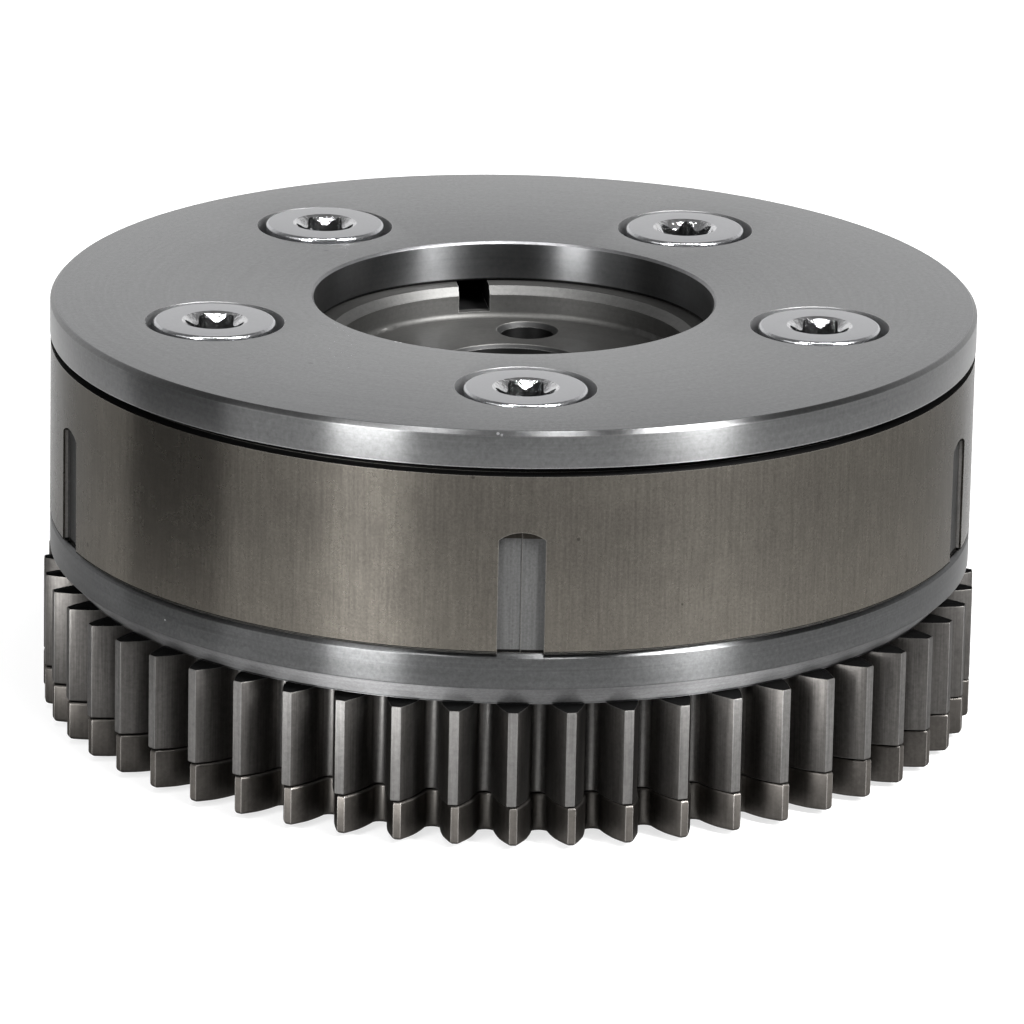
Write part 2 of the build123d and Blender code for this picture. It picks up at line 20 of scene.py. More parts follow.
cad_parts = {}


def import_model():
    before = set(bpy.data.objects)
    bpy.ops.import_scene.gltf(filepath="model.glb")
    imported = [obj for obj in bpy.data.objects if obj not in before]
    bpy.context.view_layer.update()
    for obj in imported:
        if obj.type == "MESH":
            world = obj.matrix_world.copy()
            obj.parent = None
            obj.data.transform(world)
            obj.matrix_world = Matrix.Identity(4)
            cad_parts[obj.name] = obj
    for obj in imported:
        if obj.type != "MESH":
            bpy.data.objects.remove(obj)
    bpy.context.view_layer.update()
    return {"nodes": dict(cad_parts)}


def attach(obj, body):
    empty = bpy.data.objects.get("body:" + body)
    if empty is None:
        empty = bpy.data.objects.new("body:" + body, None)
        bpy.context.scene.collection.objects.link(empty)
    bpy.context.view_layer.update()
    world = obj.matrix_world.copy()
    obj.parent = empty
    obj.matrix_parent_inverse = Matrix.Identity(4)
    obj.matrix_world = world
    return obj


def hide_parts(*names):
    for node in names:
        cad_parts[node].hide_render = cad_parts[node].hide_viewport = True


LOG = logging.getLogger("cam_phaser")
MM = 0.001
PER_METRE = 1000.0

Color = tuple[float, float, float]
Point = tuple[float, float, float]
Flat = tuple[float, float]
Object = bpy.types.Object
Socket = bpy.types.NodeSocket
Tree = bpy.types.NodeTree
Material = bpy.types.Material
Face = bpy.types.MeshPolygon


def grey(level: float) -> Color:
    """Return a neutral colour."""
    return (level, level, level)


def rgba(color: Color) -> tuple[float, float, float, float]:
    """Return a colour with full alpha."""
    return (*color, 1.0)


class Slot(Enum):
    """The material slots of the record that the finishes fill."""

    COVER = "cover_steel"
    SCREW = "screw_steel"
    STATOR = "stator_steel"
    GEAR = "gear_steel"
    SCISSOR = "scissor_steel"
    ROTOR = "rotor_steel"
    PIN = "pin_steel"
    SPRING = "spring_steel"
    SEAL = "seal_polymer"


class Body(Enum):
    """The bodies of the frame that made pieces ride on."""

    HOUSING = "housing"
    SCISSOR = "scissor"


# Shader graph helpers


class Graph:
    """Adds nodes and links to one node tree."""

    def __init__(self, tree: Tree) -> None:
        """Keep the tree of a material, world or group."""
        self.tree = tree

    def add(self, kind: str, inputs: dict | None = None, **settings: object) -> bpy.types.Node:
        """Add one node.

        Args:
            kind: The node's type name without its ShaderNode prefix.
            inputs: Socket name or number to a value or to the output socket that feeds it.
            settings: Attributes to set on the node.

        Returns:
            The new node.
        """
        node = self.tree.nodes.new("ShaderNode" + kind)
        for name, value in settings.items():
            setattr(node, name, value)
        for key, value in (inputs or {}).items():
            if isinstance(value, Socket):
                self.tree.links.new(value, node.inputs[key])
            else:
                node.inputs[key].default_value = value
        return node

    def math(self, operation: str, *values: object, clamp: bool = False) -> Socket:
        """Add a Math node on numbers or sockets, its result kept between 0 and 1 if clamped."""
        inputs = dict(enumerate(values))
        return self.add("Math", inputs, operation=operation, use_clamp=clamp).outputs[0]

    def ramp(
        self, value: object, low: float, high: float, start: float = 0.0, end: float = 1.0,
    ) -> Socket:
        """Add a smooth step that rises from start, up to low, to end, from high on."""
        inputs = {"Value": value, "From Min": low, "From Max": high, "To Min": start, "To Max": end}
        return self.add("MapRange", inputs, interpolation_type="SMOOTHSTEP").outputs[0]

    def mix_color(
        self, factor: object, first: object, second: object, blend: str = "MIX",
    ) -> Socket:
        """Add a mix of two colours, the second one's share given by the factor."""
        low, high = (
            color if isinstance(color, Socket) else rgba(color) for color in (first, second)
        )
        inputs = {0: factor, 6: low, 7: high}
        return self.add("Mix", inputs, data_type="RGBA", blend_type=blend).outputs[2]

    def mix_value(self, factor: object, first: object, second: object) -> Socket:
        """Add a mix of two numbers, the second one's share given by the factor."""
        return self.add("Mix", {0: factor, 2: first, 3: second}, data_type="FLOAT").outputs[0]


class Group(Graph):
    """A shared node group while it is built, its input sockets in given."""

    def __init__(
        self, name: str, inputs: dict[str, float | None], outputs: tuple[str, ...],
    ) -> None:
        """Make the group with its sockets.

        Args:
            name: The group's name.
            inputs: Input name to its default number, or to None for a vector.
            outputs: The names of its results, all of them numbers.
        """
        super().__init__(bpy.data.node_groups.new(name, "ShaderNodeTree"))
        sockets = self.tree.interface
        for label, value in inputs.items():
            kind = "NodeSocketVector" if value is None else "NodeSocketFloat"
            socket = sockets.new_socket(label, in_out="INPUT", socket_type=kind)
            if value is not None:
                socket.default_value = value
        for label in outputs:
            sockets.new_socket(label, in_out="OUTPUT", socket_type="NodeSocketFloat")
        self.given = self.tree.nodes.new("NodeGroupInput").outputs
        self.out = self.tree.nodes.new("NodeGroupOutput")

    def close(self, *results: Socket) -> Tree:
        """Feed the group's outputs.

        Args:
            results: The sockets that feed them, in order.

        Returns:
            The finished group.
        """
        for index, result in enumerate(results):
            self.tree.links.new(result, self.out.inputs[index])
        return self.tree


# The workshop


class Workshop:
    """The node groups that the finishes share, and each finish once it is made."""

    def __init__(self) -> None:
        """Build every group."""
        self.turned = self._turned_lines()
        self.drawn = self._drawn_streaks()
        self.mottle = self._clouds("mottle", 12.0, 4.0, 0.62)
        self.grain = self._clouds("grain", 0.5, 2.0, 0.75)
        self.specks = self._specks()
        self.edge = self._edge_wear_and_highlight()
        self.made: dict[str, Material] = {}

    def material(self, finish: Finish) -> Material:
        """Hand out a finish, made when it is first asked for.

        Args:
            finish: The finish.

        Returns:
            Its material.
        """
        if finish.name not in self.made:
            self.made[finish.name] = finish.make(self)
        return self.made[finish.name]

    @staticmethod
    def _turned_lines() -> Tree:
        """Build the fine lines that a lathe leaves round the part's axis.

        Returns:
            A group with a Height between 0 and 1.
        """
        inputs = {"Vector": None, "Lines per mm": 2.0, "Break up": 40.0}
        group = Group("turned_lines", inputs, ("Height",))
        x, y, z = group.add("SeparateXYZ", {0: group.given["Vector"]}).outputs
        squares = group.math("ADD", group.math("MULTIPLY", x, x), group.math("MULTIPLY", y, y))
        radius = group.math("SQRT", squares)
        lean = group.add("SeparateXYZ", {0: group.add("NewGeometry").outputs["Normal"]}).outputs[2]
        along = group.mix_value(group.math("ABSOLUTE", lean), z, radius)
        scale = group.math("MULTIPLY", along, PER_METRE)
        fine = group.math("MULTIPLY", scale, group.given["Lines per mm"])
        broken = [group.math("MULTIPLY", axis, group.given["Break up"]) for axis in (x, y)]
        vector = group.add("CombineXYZ", {0: fine, 1: broken[0], 2: broken[1]}).outputs[0]
        inputs = {"Vector": vector, "Scale": 1.0, "Detail": 3.0, "Roughness": 0.65}
        return group.close(group.add("TexNoise", inputs).outputs[0])

    @staticmethod
    def _drawn_streaks() -> Tree:
        """Build the short streaks that run along the part's axis.

        Returns:
            A group with a Height between 0 and 1.
        """
        inputs = {"Vector": None, "Streaks per mm": 2.0, "Length": 8.0}
        group = Group("drawn_streaks", inputs, ("Height",))
        x, y, z = group.add("SeparateXYZ", {0: group.given["Vector"]}).outputs
        scale = group.math("MULTIPLY", group.given["Streaks per mm"], PER_METRE)
        across = [group.math("MULTIPLY", axis, scale) for axis in (x, y)]
        along = group.math("DIVIDE", group.math("MULTIPLY", z, PER_METRE), group.given["Length"])
        vector = group.add("CombineXYZ", {0: across[0], 1: across[1], 2: along}).outputs[0]
        inputs = {"Vector": vector, "Scale": 1.0, "Detail": 2.5, "Roughness": 0.6}
        return group.close(group.add("TexNoise", inputs).outputs[0])

    @staticmethod
    def _clouds(name: str, size: float, detail: float, roughness: float) -> Tree:
        """Build soft clouds of one size.

        Args:
            name: The group's name.
            size: The usual size of a cloud in millimetres.
            detail: How many finer layers it has.
            roughness: How strong the finer layers are.

        Returns:
            A group with a Value around 0.5.
        """
        group = Group(name, {"Vector": None, "Size mm": size}, ("Value",))
        scale = group.math("DIVIDE", PER_METRE, group.given["Size mm"])
        inputs = {"Vector": group.given["Vector"], "Scale": scale}
        inputs |= {"Detail": detail, "Roughness": roughness}
        return group.close(group.add("TexNoise", inputs).outputs[0])

    @staticmethod
    def _specks() -> Tree:
        """Build small scattered specks.

        Returns:
            A group with a Mask that is 1 inside a speck.
        """
        inputs = {"Vector": None, "Spacing mm": 6.0, "Size": 0.05, "Share": 0.35}
        group = Group("specks", inputs, ("Mask",))
        scale = group.math("DIVIDE", PER_METRE, group.given["Spacing mm"])
        inputs = {"Vector": group.given["Vector"], "Scale": scale, "Randomness": 1.0}
        cells = group.add("TexVoronoi", inputs)
        near = group.math("LESS_THAN", cells.outputs["Distance"], group.given["Size"])
        chance = group.add("SeparateXYZ", {0: cells.outputs["Color"]}).outputs[0]
        chosen = group.math("LESS_THAN", chance, group.given["Share"])
        return group.close(group.math("MULTIPLY", near, chosen))

    @staticmethod
    def _edge_wear_and_highlight() -> Tree:
        """Build the rubbed look of edges, partly real wear and partly a painted highlight along
        them.

        Returns:
            A group with a Mask that rises to 1 at sharp edges.
        """
        group = Group("edge_wear_and_highlight", {"Radius mm": 0.2, "Gain": 6.0}, ("Mask",))
        radius = group.math("MULTIPLY", group.given["Radius mm"], MM)
        bevel = group.add("Bevel", {"Radius": radius}, samples=4)
        both = {0: bevel.outputs[0], 1: group.add("NewGeometry").outputs["Normal"]}
        dot = group.add("VectorMath", both, operation="DOT_PRODUCT").outputs["Value"]
        turn = group.math("SUBTRACT", 1.0, dot)
        return group.close(group.math("MULTIPLY", turn, group.given["Gain"], clamp=True))


# Finishes

QUARTER_TURN = 0.25


@dataclass(frozen=True)
class Zone:
    """A height and radius band of a piece, in millimetres, with its own colour and roughness: some
    bands are a finish of their own, most paint shade and light.
    """

    color: Color
    roughness: float
    low: float | None = None
    high: float | None = None
    inner: float | None = None
    outer: float | None = None
    blend: float = 0.06

    def mask(self, graph: Graph, height: Socket, radius: Socket) -> Socket:
        """Build the mask that is 1 inside the zone.

        Args:
            graph: The material's graph.
            height: The height above the floor in millimetres.
            radius: The distance from the axis in millimetres.

        Returns:
            The mask.
        """
        parts = []
        for value, low, high in ((height, self.low, self.high), (radius, self.inner, self.outer)):
            if low is not None:
                parts.append(graph.ramp(value, low - self.blend, low + self.blend))
            if high is not None:
                parts.append(graph.ramp(value, high - self.blend, high + self.blend, 1.0, 0.0))
        mask = parts[0]
        for part in parts[1:]:
            mask = graph.math("MULTIPLY", mask, part)
        return mask


@dataclass(frozen=True)
class Nick:
    """A small knock that left bare metal, placed by azimuth, radius and height in millimetres."""

    azimuth: float
    radius: float
    height: float
    size: float
    color: Color = (0.6, 0.6, 0.61)
    ragged_scale: float = 3500.0
    core: float = 0.35
    fringe: float = 0.55

    def mask(self, graph: Graph, place: Socket) -> Socket:
        """Build the mask that is 1 inside the nick, with a ragged outline.

        Args:
            graph: The material's graph.
            place: The object coordinates.

        Returns:
            The mask.
        """
        centre = on_circle(self.radius, self.azimuth, self.height) * MM
        gap = graph.add("VectorMath", {0: place, 1: centre}, operation="DISTANCE").outputs["Value"]
        noise = graph.add("TexNoise", {"Vector": place, "Scale": self.ragged_scale, "Detail": 1.0})
        ragged = graph.math("MULTIPLY", gap, graph.math("ADD", noise.outputs[0], 0.5))
        size = self.size * MM
        return graph.ramp(ragged, size * self.core, size * self.fringe, 1.0, 0.0)


@dataclass(frozen=True)
class Trace:
    """A pattern that a tool left: its size or density in millimetres, its depth and its shade."""

    scale: float
    depth: float
    shade: float


@dataclass(frozen=True)
class Finish:
    """One metal finish: its colour and tool marks, with painted shade and light in some zones and
    along its edges.
    """

    name: str
    slot: Slot
    color: Color
    roughness: float
    anisotropy: float = 0.0
    metallic: float = 1.0
    edge_tint: float = 1.0
    lines: Trace | None = None
    streaks: Trace | None = None
    grain: Trace | None = None
    mottle_size: float = 12.0
    mottle_shade: float = 0.1
    speck_shade: float = 0.0
    # Lighter edges: partly rubbed wear, partly a painted highlight along the edges.
    wear_and_highlight: float = 0.0
    wear_and_highlight_color: Color = (0.55, 0.55, 0.56)
    wear_and_highlight_radius: float = 0.15
    zones: tuple[Zone, ...] = ()
    nicks: tuple[Nick, ...] = ()

    def make(self, workshop: Workshop) -> Material:
        """Build the finish as a material.

        Args:
            workshop: The shared node groups.

        Returns:
            The new material.
        """
        material = bpy.data.materials.new(self.name)
        material.use_nodes = True
        graph = Graph(material.node_tree)
        shader = material.node_tree.nodes["Principled BSDF"]
        plain = {
            "Metallic": self.metallic, "Anisotropic": self.anisotropy,
            "Anisotropic Rotation": QUARTER_TURN, "Specular Tint": rgba(grey(self.edge_tint)),
        }
        for name, value in plain.items():
            shader.inputs[name].default_value = value
        place = graph.add("TexCoord").outputs["Object"]
        color, rough = self._zoned(graph, place)
        shade: object = 1.0
        normal = None
        link = material.node_tree.links.new
        for tree, label, trace in (
            (workshop.turned, "Lines per mm", self.lines),
            (workshop.drawn, "Streaks per mm", self.streaks),
            (workshop.grain, "Size mm", self.grain),
        ):
            if trace is None:
                continue
            inputs = {"Vector": place, label: trace.scale}
            height = graph.add("Group", inputs, node_tree=tree).outputs[0]
            shade = self._shaded(graph, shade, height, trace.shade)
            if trace.depth:
                inputs = {"Strength": 1.0, "Distance": trace.depth * MM, "Height": height}
                bump = graph.add("Bump", inputs)
                if normal is not None:
                    link(normal, bump.inputs["Normal"])
                normal = bump.outputs[0]
        inputs = {"Vector": place, "Size mm": self.mottle_size}
        clouds = graph.add("Group", inputs, node_tree=workshop.mottle).outputs[0]
        shade = self._shaded(graph, shade, clouds, self.mottle_shade)
        rough = self._shaded(graph, rough, clouds, self.mottle_shade)
        if self.speck_shade:
            specks = graph.add("Group", {"Vector": place}, node_tree=workshop.specks).outputs[0]
            darker = graph.math("SUBTRACT", 1.0, graph.math("MULTIPLY", specks, self.speck_shade))
            shade = graph.math("MULTIPLY", shade, darker)
        tone = graph.add("CombineXYZ", {0: shade, 1: shade, 2: shade}).outputs[0]
        color = graph.mix_color(1.0, color, tone, blend="MULTIPLY")
        # Edges lightened towards their colour: rubbed wear together with a painted edge highlight.
        if self.wear_and_highlight:
            inputs = {"Radius mm": self.wear_and_highlight_radius}
            edge = graph.add("Group", inputs, node_tree=workshop.edge).outputs[0]
            color = graph.mix_color(graph.math("MULTIPLY", edge, self.wear_and_highlight), color, self.wear_and_highlight_color)
        for nick in self.nicks:
            color = graph.mix_color(nick.mask(graph, place), color, nick.color)
        link(color, shader.inputs["Base Color"])
        link(rough, shader.inputs["Roughness"])
        if normal is not None:
            link(normal, shader.inputs["Normal"])
        return material

    def _zoned(self, graph: Graph, place: Socket) -> tuple[object, object]:
        """Return the colour and the roughness, changed in each zone.

        Args:
            graph: The material's graph.
            place: The object coordinates.

        Returns:
            The colour and the roughness.
        """
        color: object = self.color
        rough: object = self.roughness
        if self.zones:
            x, y, z = graph.add("SeparateXYZ", {0: place}).outputs
            height = graph.math("MULTIPLY", z, PER_METRE)
            flat_place = graph.add("CombineXYZ", {0: x, 1: y}).outputs[0]
            length = graph.add("VectorMath", {0: flat_place}, operation="LENGTH").outputs["Value"]
            radius = graph.math("MULTIPLY", length, PER_METRE)
            for zone in self.zones:
                mask = zone.mask(graph, height, radius)
                color = graph.mix_color(mask, color, zone.color)
                rough = graph.mix_value(mask, rough, zone.roughness)
        return color, rough

    @staticmethod
    def _shaded(graph: Graph, shade: object, pattern: Socket, amount: float) -> object:
        """Move a value up and down by a pattern that lies around 0.5.

        Args:
            graph: The material's graph.
            shade: The value so far.
            pattern: The pattern.
            amount: How far the pattern moves the value.

        Returns:
            The new value.
        """
        if not amount:
            return shade
        factor = graph.math("ADD", 1.0 - amount / 2, graph.math("MULTIPLY", pattern, amount))
        return graph.math("MULTIPLY", shade, factor)


RIM = Finish(
    "turned_cover_rim", Slot.COVER, (0.143, 0.144, 0.145), 0.30, anisotropy=1.0,
    lines=Trace(3.0, 0.0006, 0.40), grain=Trace(0.5, 0.0, 0.6), mottle_shade=0.16, speck_shade=0.25,
    wear_and_highlight=0.8, wear_and_highlight_color=(0.62, 0.62, 0.63), wear_and_highlight_radius=0.25,
    # Painted shade: a black band on the parting step, where the gap to the stator lies in shade.
    zones=(Zone(grey(0.008), 0.7, high=44.40, outer=53.2, blend=0.02),),
    nicks=(
        Nick(-1.55, 53.2, 48.35, 0.42, (0.45, 0.45, 0.46)),
        Nick(-1.1, 53.3, 48.2, 0.3, (0.40, 0.40, 0.41)),
    ),
)
COVER_FACE = Finish(
    "ground_cover_face", Slot.COVER, (0.174, 0.176, 0.179), 0.26, anisotropy=0.1,
    lines=Trace(2.5, 0.0005, 0.28), grain=Trace(0.5, 0.0, 0.55), mottle_size=14.0,
    mottle_shade=0.22, speck_shade=0.3, wear_and_highlight=0.3,
    nicks=(Nick(-34.3, 23.4, 48.6, 0.5), Nick(-32.8, 23.4, 48.6, 0.4)),
)
BORE_WALL = Finish(
    "turned_bore_wall", Slot.COVER, (0.108, 0.109, 0.111), 0.335, anisotropy=0.9,
    lines=Trace(4.0, 0.0005, 0.3), grain=Trace(0.5, 0.0, 0.35), mottle_size=6.0, mottle_shade=0.3,
    # Painted shade: the foot of the bore wall is near black, where it meets the rotor.
    zones=(Zone(grey(0.010), 0.6, high=44.2),),
)
BORE_LIP = Finish(
    "bright_bore_lip", Slot.COVER, (0.19, 0.19, 0.195), 0.36, lines=Trace(4.0, 0.0, 0.1),
    grain=Trace(0.8, 0.01, 0.7), mottle_shade=0.3,
)
# Painted light: the counterbore walls are much lighter than the cover steel, standing in for the
# light inside them.
COUNTERBORE = Finish(
    "milled_counterbore", Slot.COVER, (0.42, 0.42, 0.425), 0.45, lines=Trace(3.0, 0.0, 0.1),
    grain=Trace(0.5, 0.0, 0.3), mottle_shade=0.16,
    # A dimmer band at the mouth, painted to tone down the highlight on its edge.
    zones=(Zone((0.22, 0.22, 0.222), 0.40, low=48.53, blend=0.01),),
)
HEAD_FACE = Finish(
    "plated_head_face", Slot.SCREW, (0.41, 0.412, 0.424), 0.36, grain=Trace(0.35, 0.0, 0.16),
    mottle_size=4.0, mottle_shade=0.12, wear_and_highlight=0.5, wear_and_highlight_color=(0.85, 0.85, 0.87), wear_and_highlight_radius=0.12,
)
# Partly painted highlight: lighter than the head's face, so that the rounded rim shows a bright
# line.
HEAD_SIDE = Finish(
    "plated_head_side", Slot.SCREW, (0.50, 0.505, 0.52), 0.18, grain=Trace(0.8, 0.05, 0.35),
    mottle_size=3.0, mottle_shade=0.2,
)
# Partly painted shade: darker than the plating, standing in for the shade inside the recess.
HEAD_RECESS = Finish(
    "forged_head_recess", Slot.SCREW, (0.26, 0.262, 0.265), 0.20, grain=Trace(0.55, 0.09, 0.6),
    mottle_size=2.0, mottle_shade=0.3,
)
# Partly painted highlight: much lighter than the plating on the recess's rounded edges, beside the
# glints that their low roughness gives.
HEAD_LEAD_IN = Finish(
    "bright_recess_edge", Slot.SCREW, (0.66, 0.66, 0.67), 0.14, grain=Trace(0.6, 0.10, 0.4),
    mottle_size=1.2, mottle_shade=0.35,
)
STATOR_SIDE = Finish(
    "sintered_stator", Slot.STATOR, (0.091, 0.084, 0.073), 0.27, anisotropy=0.7, edge_tint=0.65,
    streaks=Trace(3.2, 0.0012, 0.60), grain=Trace(0.30, 0.0, 0.75), mottle_size=3.6,
    mottle_shade=0.24, speck_shade=0.45, wear_and_highlight=0.5, wear_and_highlight_color=(0.30, 0.29, 0.27),
    zones=(
        Zone((0.122, 0.112, 0.097), 0.27, high=31.0, blend=8.0),
        # Painted light: the slots' side walls are much lighter, so that they don't show the shade
        # they lie in.
        Zone((0.300, 0.290, 0.280), 0.70, low=22.0, high=36.1, outer=53.08, inner=50.0, blend=0.03),
        Zone((0.108, 0.108, 0.107), 0.75, low=22.0, high=36.1, outer=52.75, inner=50.0, blend=0.03),
        # Painted shade under the arched top of each slot.
        Zone((0.030, 0.027, 0.023), 0.60, low=36.1, high=38.0, outer=53.0, inner=50.0, blend=0.03),
        # Painted shade: a black line in the seam just above the flange.
        Zone(grey(0.006), 0.7, high=23.23, blend=0.03),
        # Painted shade: a black band on the rebate under the cover.
        Zone(grey(0.008), 0.7, low=43.42, outer=53.15, blend=0.02),
    ),
)
FLANGE_SIDE = Finish(
    "turned_flange", Slot.GEAR, (0.103, 0.104, 0.105), 0.285, anisotropy=1.0, edge_tint=0.7,
    lines=Trace(2.5, 0.0008, 0.6), grain=Trace(0.42, 0.0, 0.7), mottle_shade=0.2, speck_shade=0.3,
    wear_and_highlight=0.15,
    # Painted light: the rear chamfer is lighter than the flange, standing in for the light it
    # catches from below.
    zones=(Zone((0.225, 0.225, 0.227), 0.70, low=16.5, high=18.95, outer=53.2),),
    nicks=(Nick(-46.12, 53.3, 20.70, 0.22),),
)
TOOTH_STEEL = Finish(
    "cut_gear_teeth", Slot.GEAR, (0.150, 0.146, 0.142), 0.48, anisotropy=0.2, edge_tint=0.35,
    streaks=Trace(5.0, 0.0, 0.9), grain=Trace(0.5, 0.0, 0.7), mottle_shade=0.3, wear_and_highlight=0.25,
    wear_and_highlight_color=(0.40, 0.39, 0.38), wear_and_highlight_radius=0.12,
    zones=(
        # Painted shade and light: darker flanks between lighter roots and lands, standing in for
        # how light falls on the teeth.
        Zone((0.084, 0.080, 0.076), 0.42, inner=49.4, outer=53.95, blend=0.02),
        Zone((0.135, 0.131, 0.127), 0.46, outer=49.4, blend=0.02),
        # Painted shade: the teeth's top faces under the flange are near black.
        Zone(grey(0.012), 0.60, low=16.27, blend=0.02),
    ),
)
SCISSOR_STEEL = Finish(
    "dark_scissor_teeth", Slot.SCISSOR, (0.114, 0.105, 0.096), 0.44, anisotropy=0.2, edge_tint=0.45,
    streaks=Trace(3.0, 0.0, 0.5), grain=Trace(0.5, 0.0, 0.6), mottle_shade=0.3, wear_and_highlight=0.7,
    wear_and_highlight_color=(0.52, 0.50, 0.48), wear_and_highlight_radius=0.18,
    zones=(
        # Painted shade and light: darker flanks between lighter roots and lands, standing in for
        # how light falls on the teeth.
        Zone((0.066, 0.061, 0.056), 0.42, inner=49.4, outer=53.95, blend=0.02),
        Zone((0.098, 0.092, 0.085), 0.46, outer=49.4, blend=0.02),
    ),
)
ROTOR_STEEL = Finish(
    "turned_rotor_steel", Slot.ROTOR, (0.088, 0.087, 0.084), 0.54, anisotropy=0.4,
    lines=Trace(3.0, 0.0008, 0.3), grain=Trace(0.5, 0.0, 0.45), mottle_shade=0.25, wear_and_highlight=0.7,
    wear_and_highlight_color=(0.34, 0.34, 0.335), wear_and_highlight_radius=0.12,
    zones=(
        # Painted highlight: the rim chamfer inside the bore is lighter than the rotor.
        Zone((0.128, 0.127, 0.124), 0.50, low=42.95, high=43.78, inner=20.2, outer=21.3),
        # Painted shade: the rotor's front face under the cover is near black.
        Zone(grey(0.010), 0.70, low=39.0, high=43.7, inner=21.4, outer=30.0),
        # Painted shade: the vent slot and the holes under the recess floor are near black.
        Zone(grey(0.020), 0.50, low=27.5, high=39.72, outer=19.9, blend=0.02),
        # Painted shade at their mouths, a little less dark.
        Zone(grey(0.040), 0.55, low=39.72, high=40.12, outer=19.0, blend=0.02),
    ),
)
PIN_STEEL = Finish(
    "hardened_pin_steel", Slot.PIN, (0.32, 0.32, 0.33), 0.25, anisotropy=0.4,
    lines=Trace(2.0, 0.0, 0.1),
)
SPRING_STEEL = Finish(
    "blued_spring_steel", Slot.SPRING, (0.16, 0.16, 0.18), 0.32, lines=Trace(2.0, 0.0, 0.1),
    mottle_shade=0.2,
)
SEAL_POLYMER = Finish(
    "seal_polymer_black", Slot.SEAL, (0.03, 0.03, 0.032), 0.45, metallic=0.0, mottle_shade=0.3,
)
NODE_FINISHES = (
    RIM, HEAD_FACE, STATOR_SIDE, FLANGE_SIDE, SCISSOR_STEEL, ROTOR_STEEL, PIN_STEEL, SPRING_STEEL,
    SEAL_POLYMER,
)


# Modelling by operators

WELD = 1e-6
LEVEL = 1e-7
CLEAR = 1.0
SMOOTH_ANGLE = 30.0


def alone(obj: Object) -> None:
    """Select one object only and make it active.

    Args:
        obj: The object.
    """
    bpy.ops.object.select_all(action="DESELECT")
    obj.select_set(True)
    bpy.context.view_layer.objects.active = obj


def on_circle(radius: float, azimuth: float, height: float = 0.0) -> Vector:
    """Return a point in millimetres, its azimuth counted from the front."""
    angle = math.radians(azimuth - 90.0)
    return Vector((radius * math.cos(angle), radius * math.sin(angle), height))


def rounded(corners: list[Flat], radii: list[float], steps: int = 4) -> list[Flat]:
    """Round the corners of a closed flat outline.

    Args:
        corners: The corners in order.
        radii: The rounding radius at each corner, 0 for a sharp one.
        steps: How many straight runs each rounding has.

    Returns:
        The outline's points.
    """
    points = []
    count = len(corners)
    for index, radius in enumerate(radii):
        here = Vector(corners[index])
        before = (Vector(corners[index - 1]) - here).normalized()
        after = (Vector(corners[(index + 1) % count]) - here).normalized()
        if radius <= 0.0:
            points.append(tuple(here))
            continue
        half = before.angle(after) / 2
        bisector = (before + after).normalized()
        centre = here + bisector * (radius / math.sin(half))
        start = here + before * (radius / math.tan(half)) - centre
        end = here + after * (radius / math.tan(half)) - centre
        sweep = start.angle_signed(end)
        for step in range(steps + 1):
            turn = Matrix.Rotation(-sweep * step / steps, 2)
            points.append(tuple(centre + turn @ start))
    return points


def outline_object(name: str, points: list[Point], fill: str = "NOTHING") -> Object:
    """Start a piece from a circle primitive whose vertices are put on an outline.

    Args:
        name: The piece's name.
        points: The outline in millimetres.
        fill: What the outline is filled with.

    Returns:
        The flat piece.
    """
    bpy.ops.mesh.primitive_circle_add(vertices=len(points), radius=1.0, fill_type=fill)
    piece = bpy.context.object
    piece.name = piece.data.name = name
    for vertex, point in zip(piece.data.vertices, points):
        vertex.co = Vector(point) * MM
    return piece


def shaped(piece: Object, step: Callable[[], object]) -> Object:
    """Take one modelling step on the whole of a piece and turn its faces outwards.

    Args:
        piece: The piece.
        step: The step, which finds everything selected in edit mode.

    Returns:
        The same piece.
    """
    alone(piece)
    bpy.ops.object.mode_set(mode="EDIT")
    bpy.ops.mesh.select_all(action="SELECT")
    step()
    bpy.ops.mesh.select_all(action="SELECT")
    bpy.ops.mesh.normals_make_consistent(inside=False)
    bpy.ops.object.mode_set(mode="OBJECT")
    return piece


def lathe(name: str, profile: list[Flat], steps: int, centre: Point = (0.0, 0.0, 0.0)) -> Object:
    """Turn a closed profile about an upright axis.

    Args:
        name: The piece's name.
        profile: The profile as (radius, height) points in millimetres.
        steps: How many steps make the full turn.
        centre: The axis' place in millimetres.

    Returns:
        The turned piece.
    """
    middle = Vector((centre[0], centre[1], 0.0))

    def turn() -> None:
        """Spin the profile and join its ends."""
        bpy.ops.mesh.spin(steps=steps, angle=math.tau, center=middle * MM, axis=(0, 0, 1))
        bpy.ops.mesh.select_all(action="SELECT")
        bpy.ops.mesh.remove_doubles(threshold=WELD)

    points = [Vector((r, 0.0, z)) + middle for r, z in profile]
    return shaped(outline_object(name, points), turn)


def drawn_up(name: str, points: list[Point], height: float) -> Object:
    """Extrude a flat outline upwards.

    Args:
        name: The piece's name.
        points: The outline in millimetres.
        height: How far it is drawn up, in millimetres.

    Returns:
        The solid piece.
    """
    move = {"value": (0, 0, height * MM)}
    return shaped(
        outline_object(name, points, "NGON"),
        lambda: bpy.ops.mesh.extrude_region_move(TRANSFORM_OT_translate=move),
    )


def drill(place: Vector, radius: float, low: float, high: float, steps: int = 64) -> Object:
    """Return the cutter of an upright hole, which stands clear of the hole's mouth at high."""
    top = high + CLEAR
    profile = [(0.0, low), (radius, low), (radius, top), (0.0, top)]
    return lathe("drill_tool", profile, steps, tuple(place))


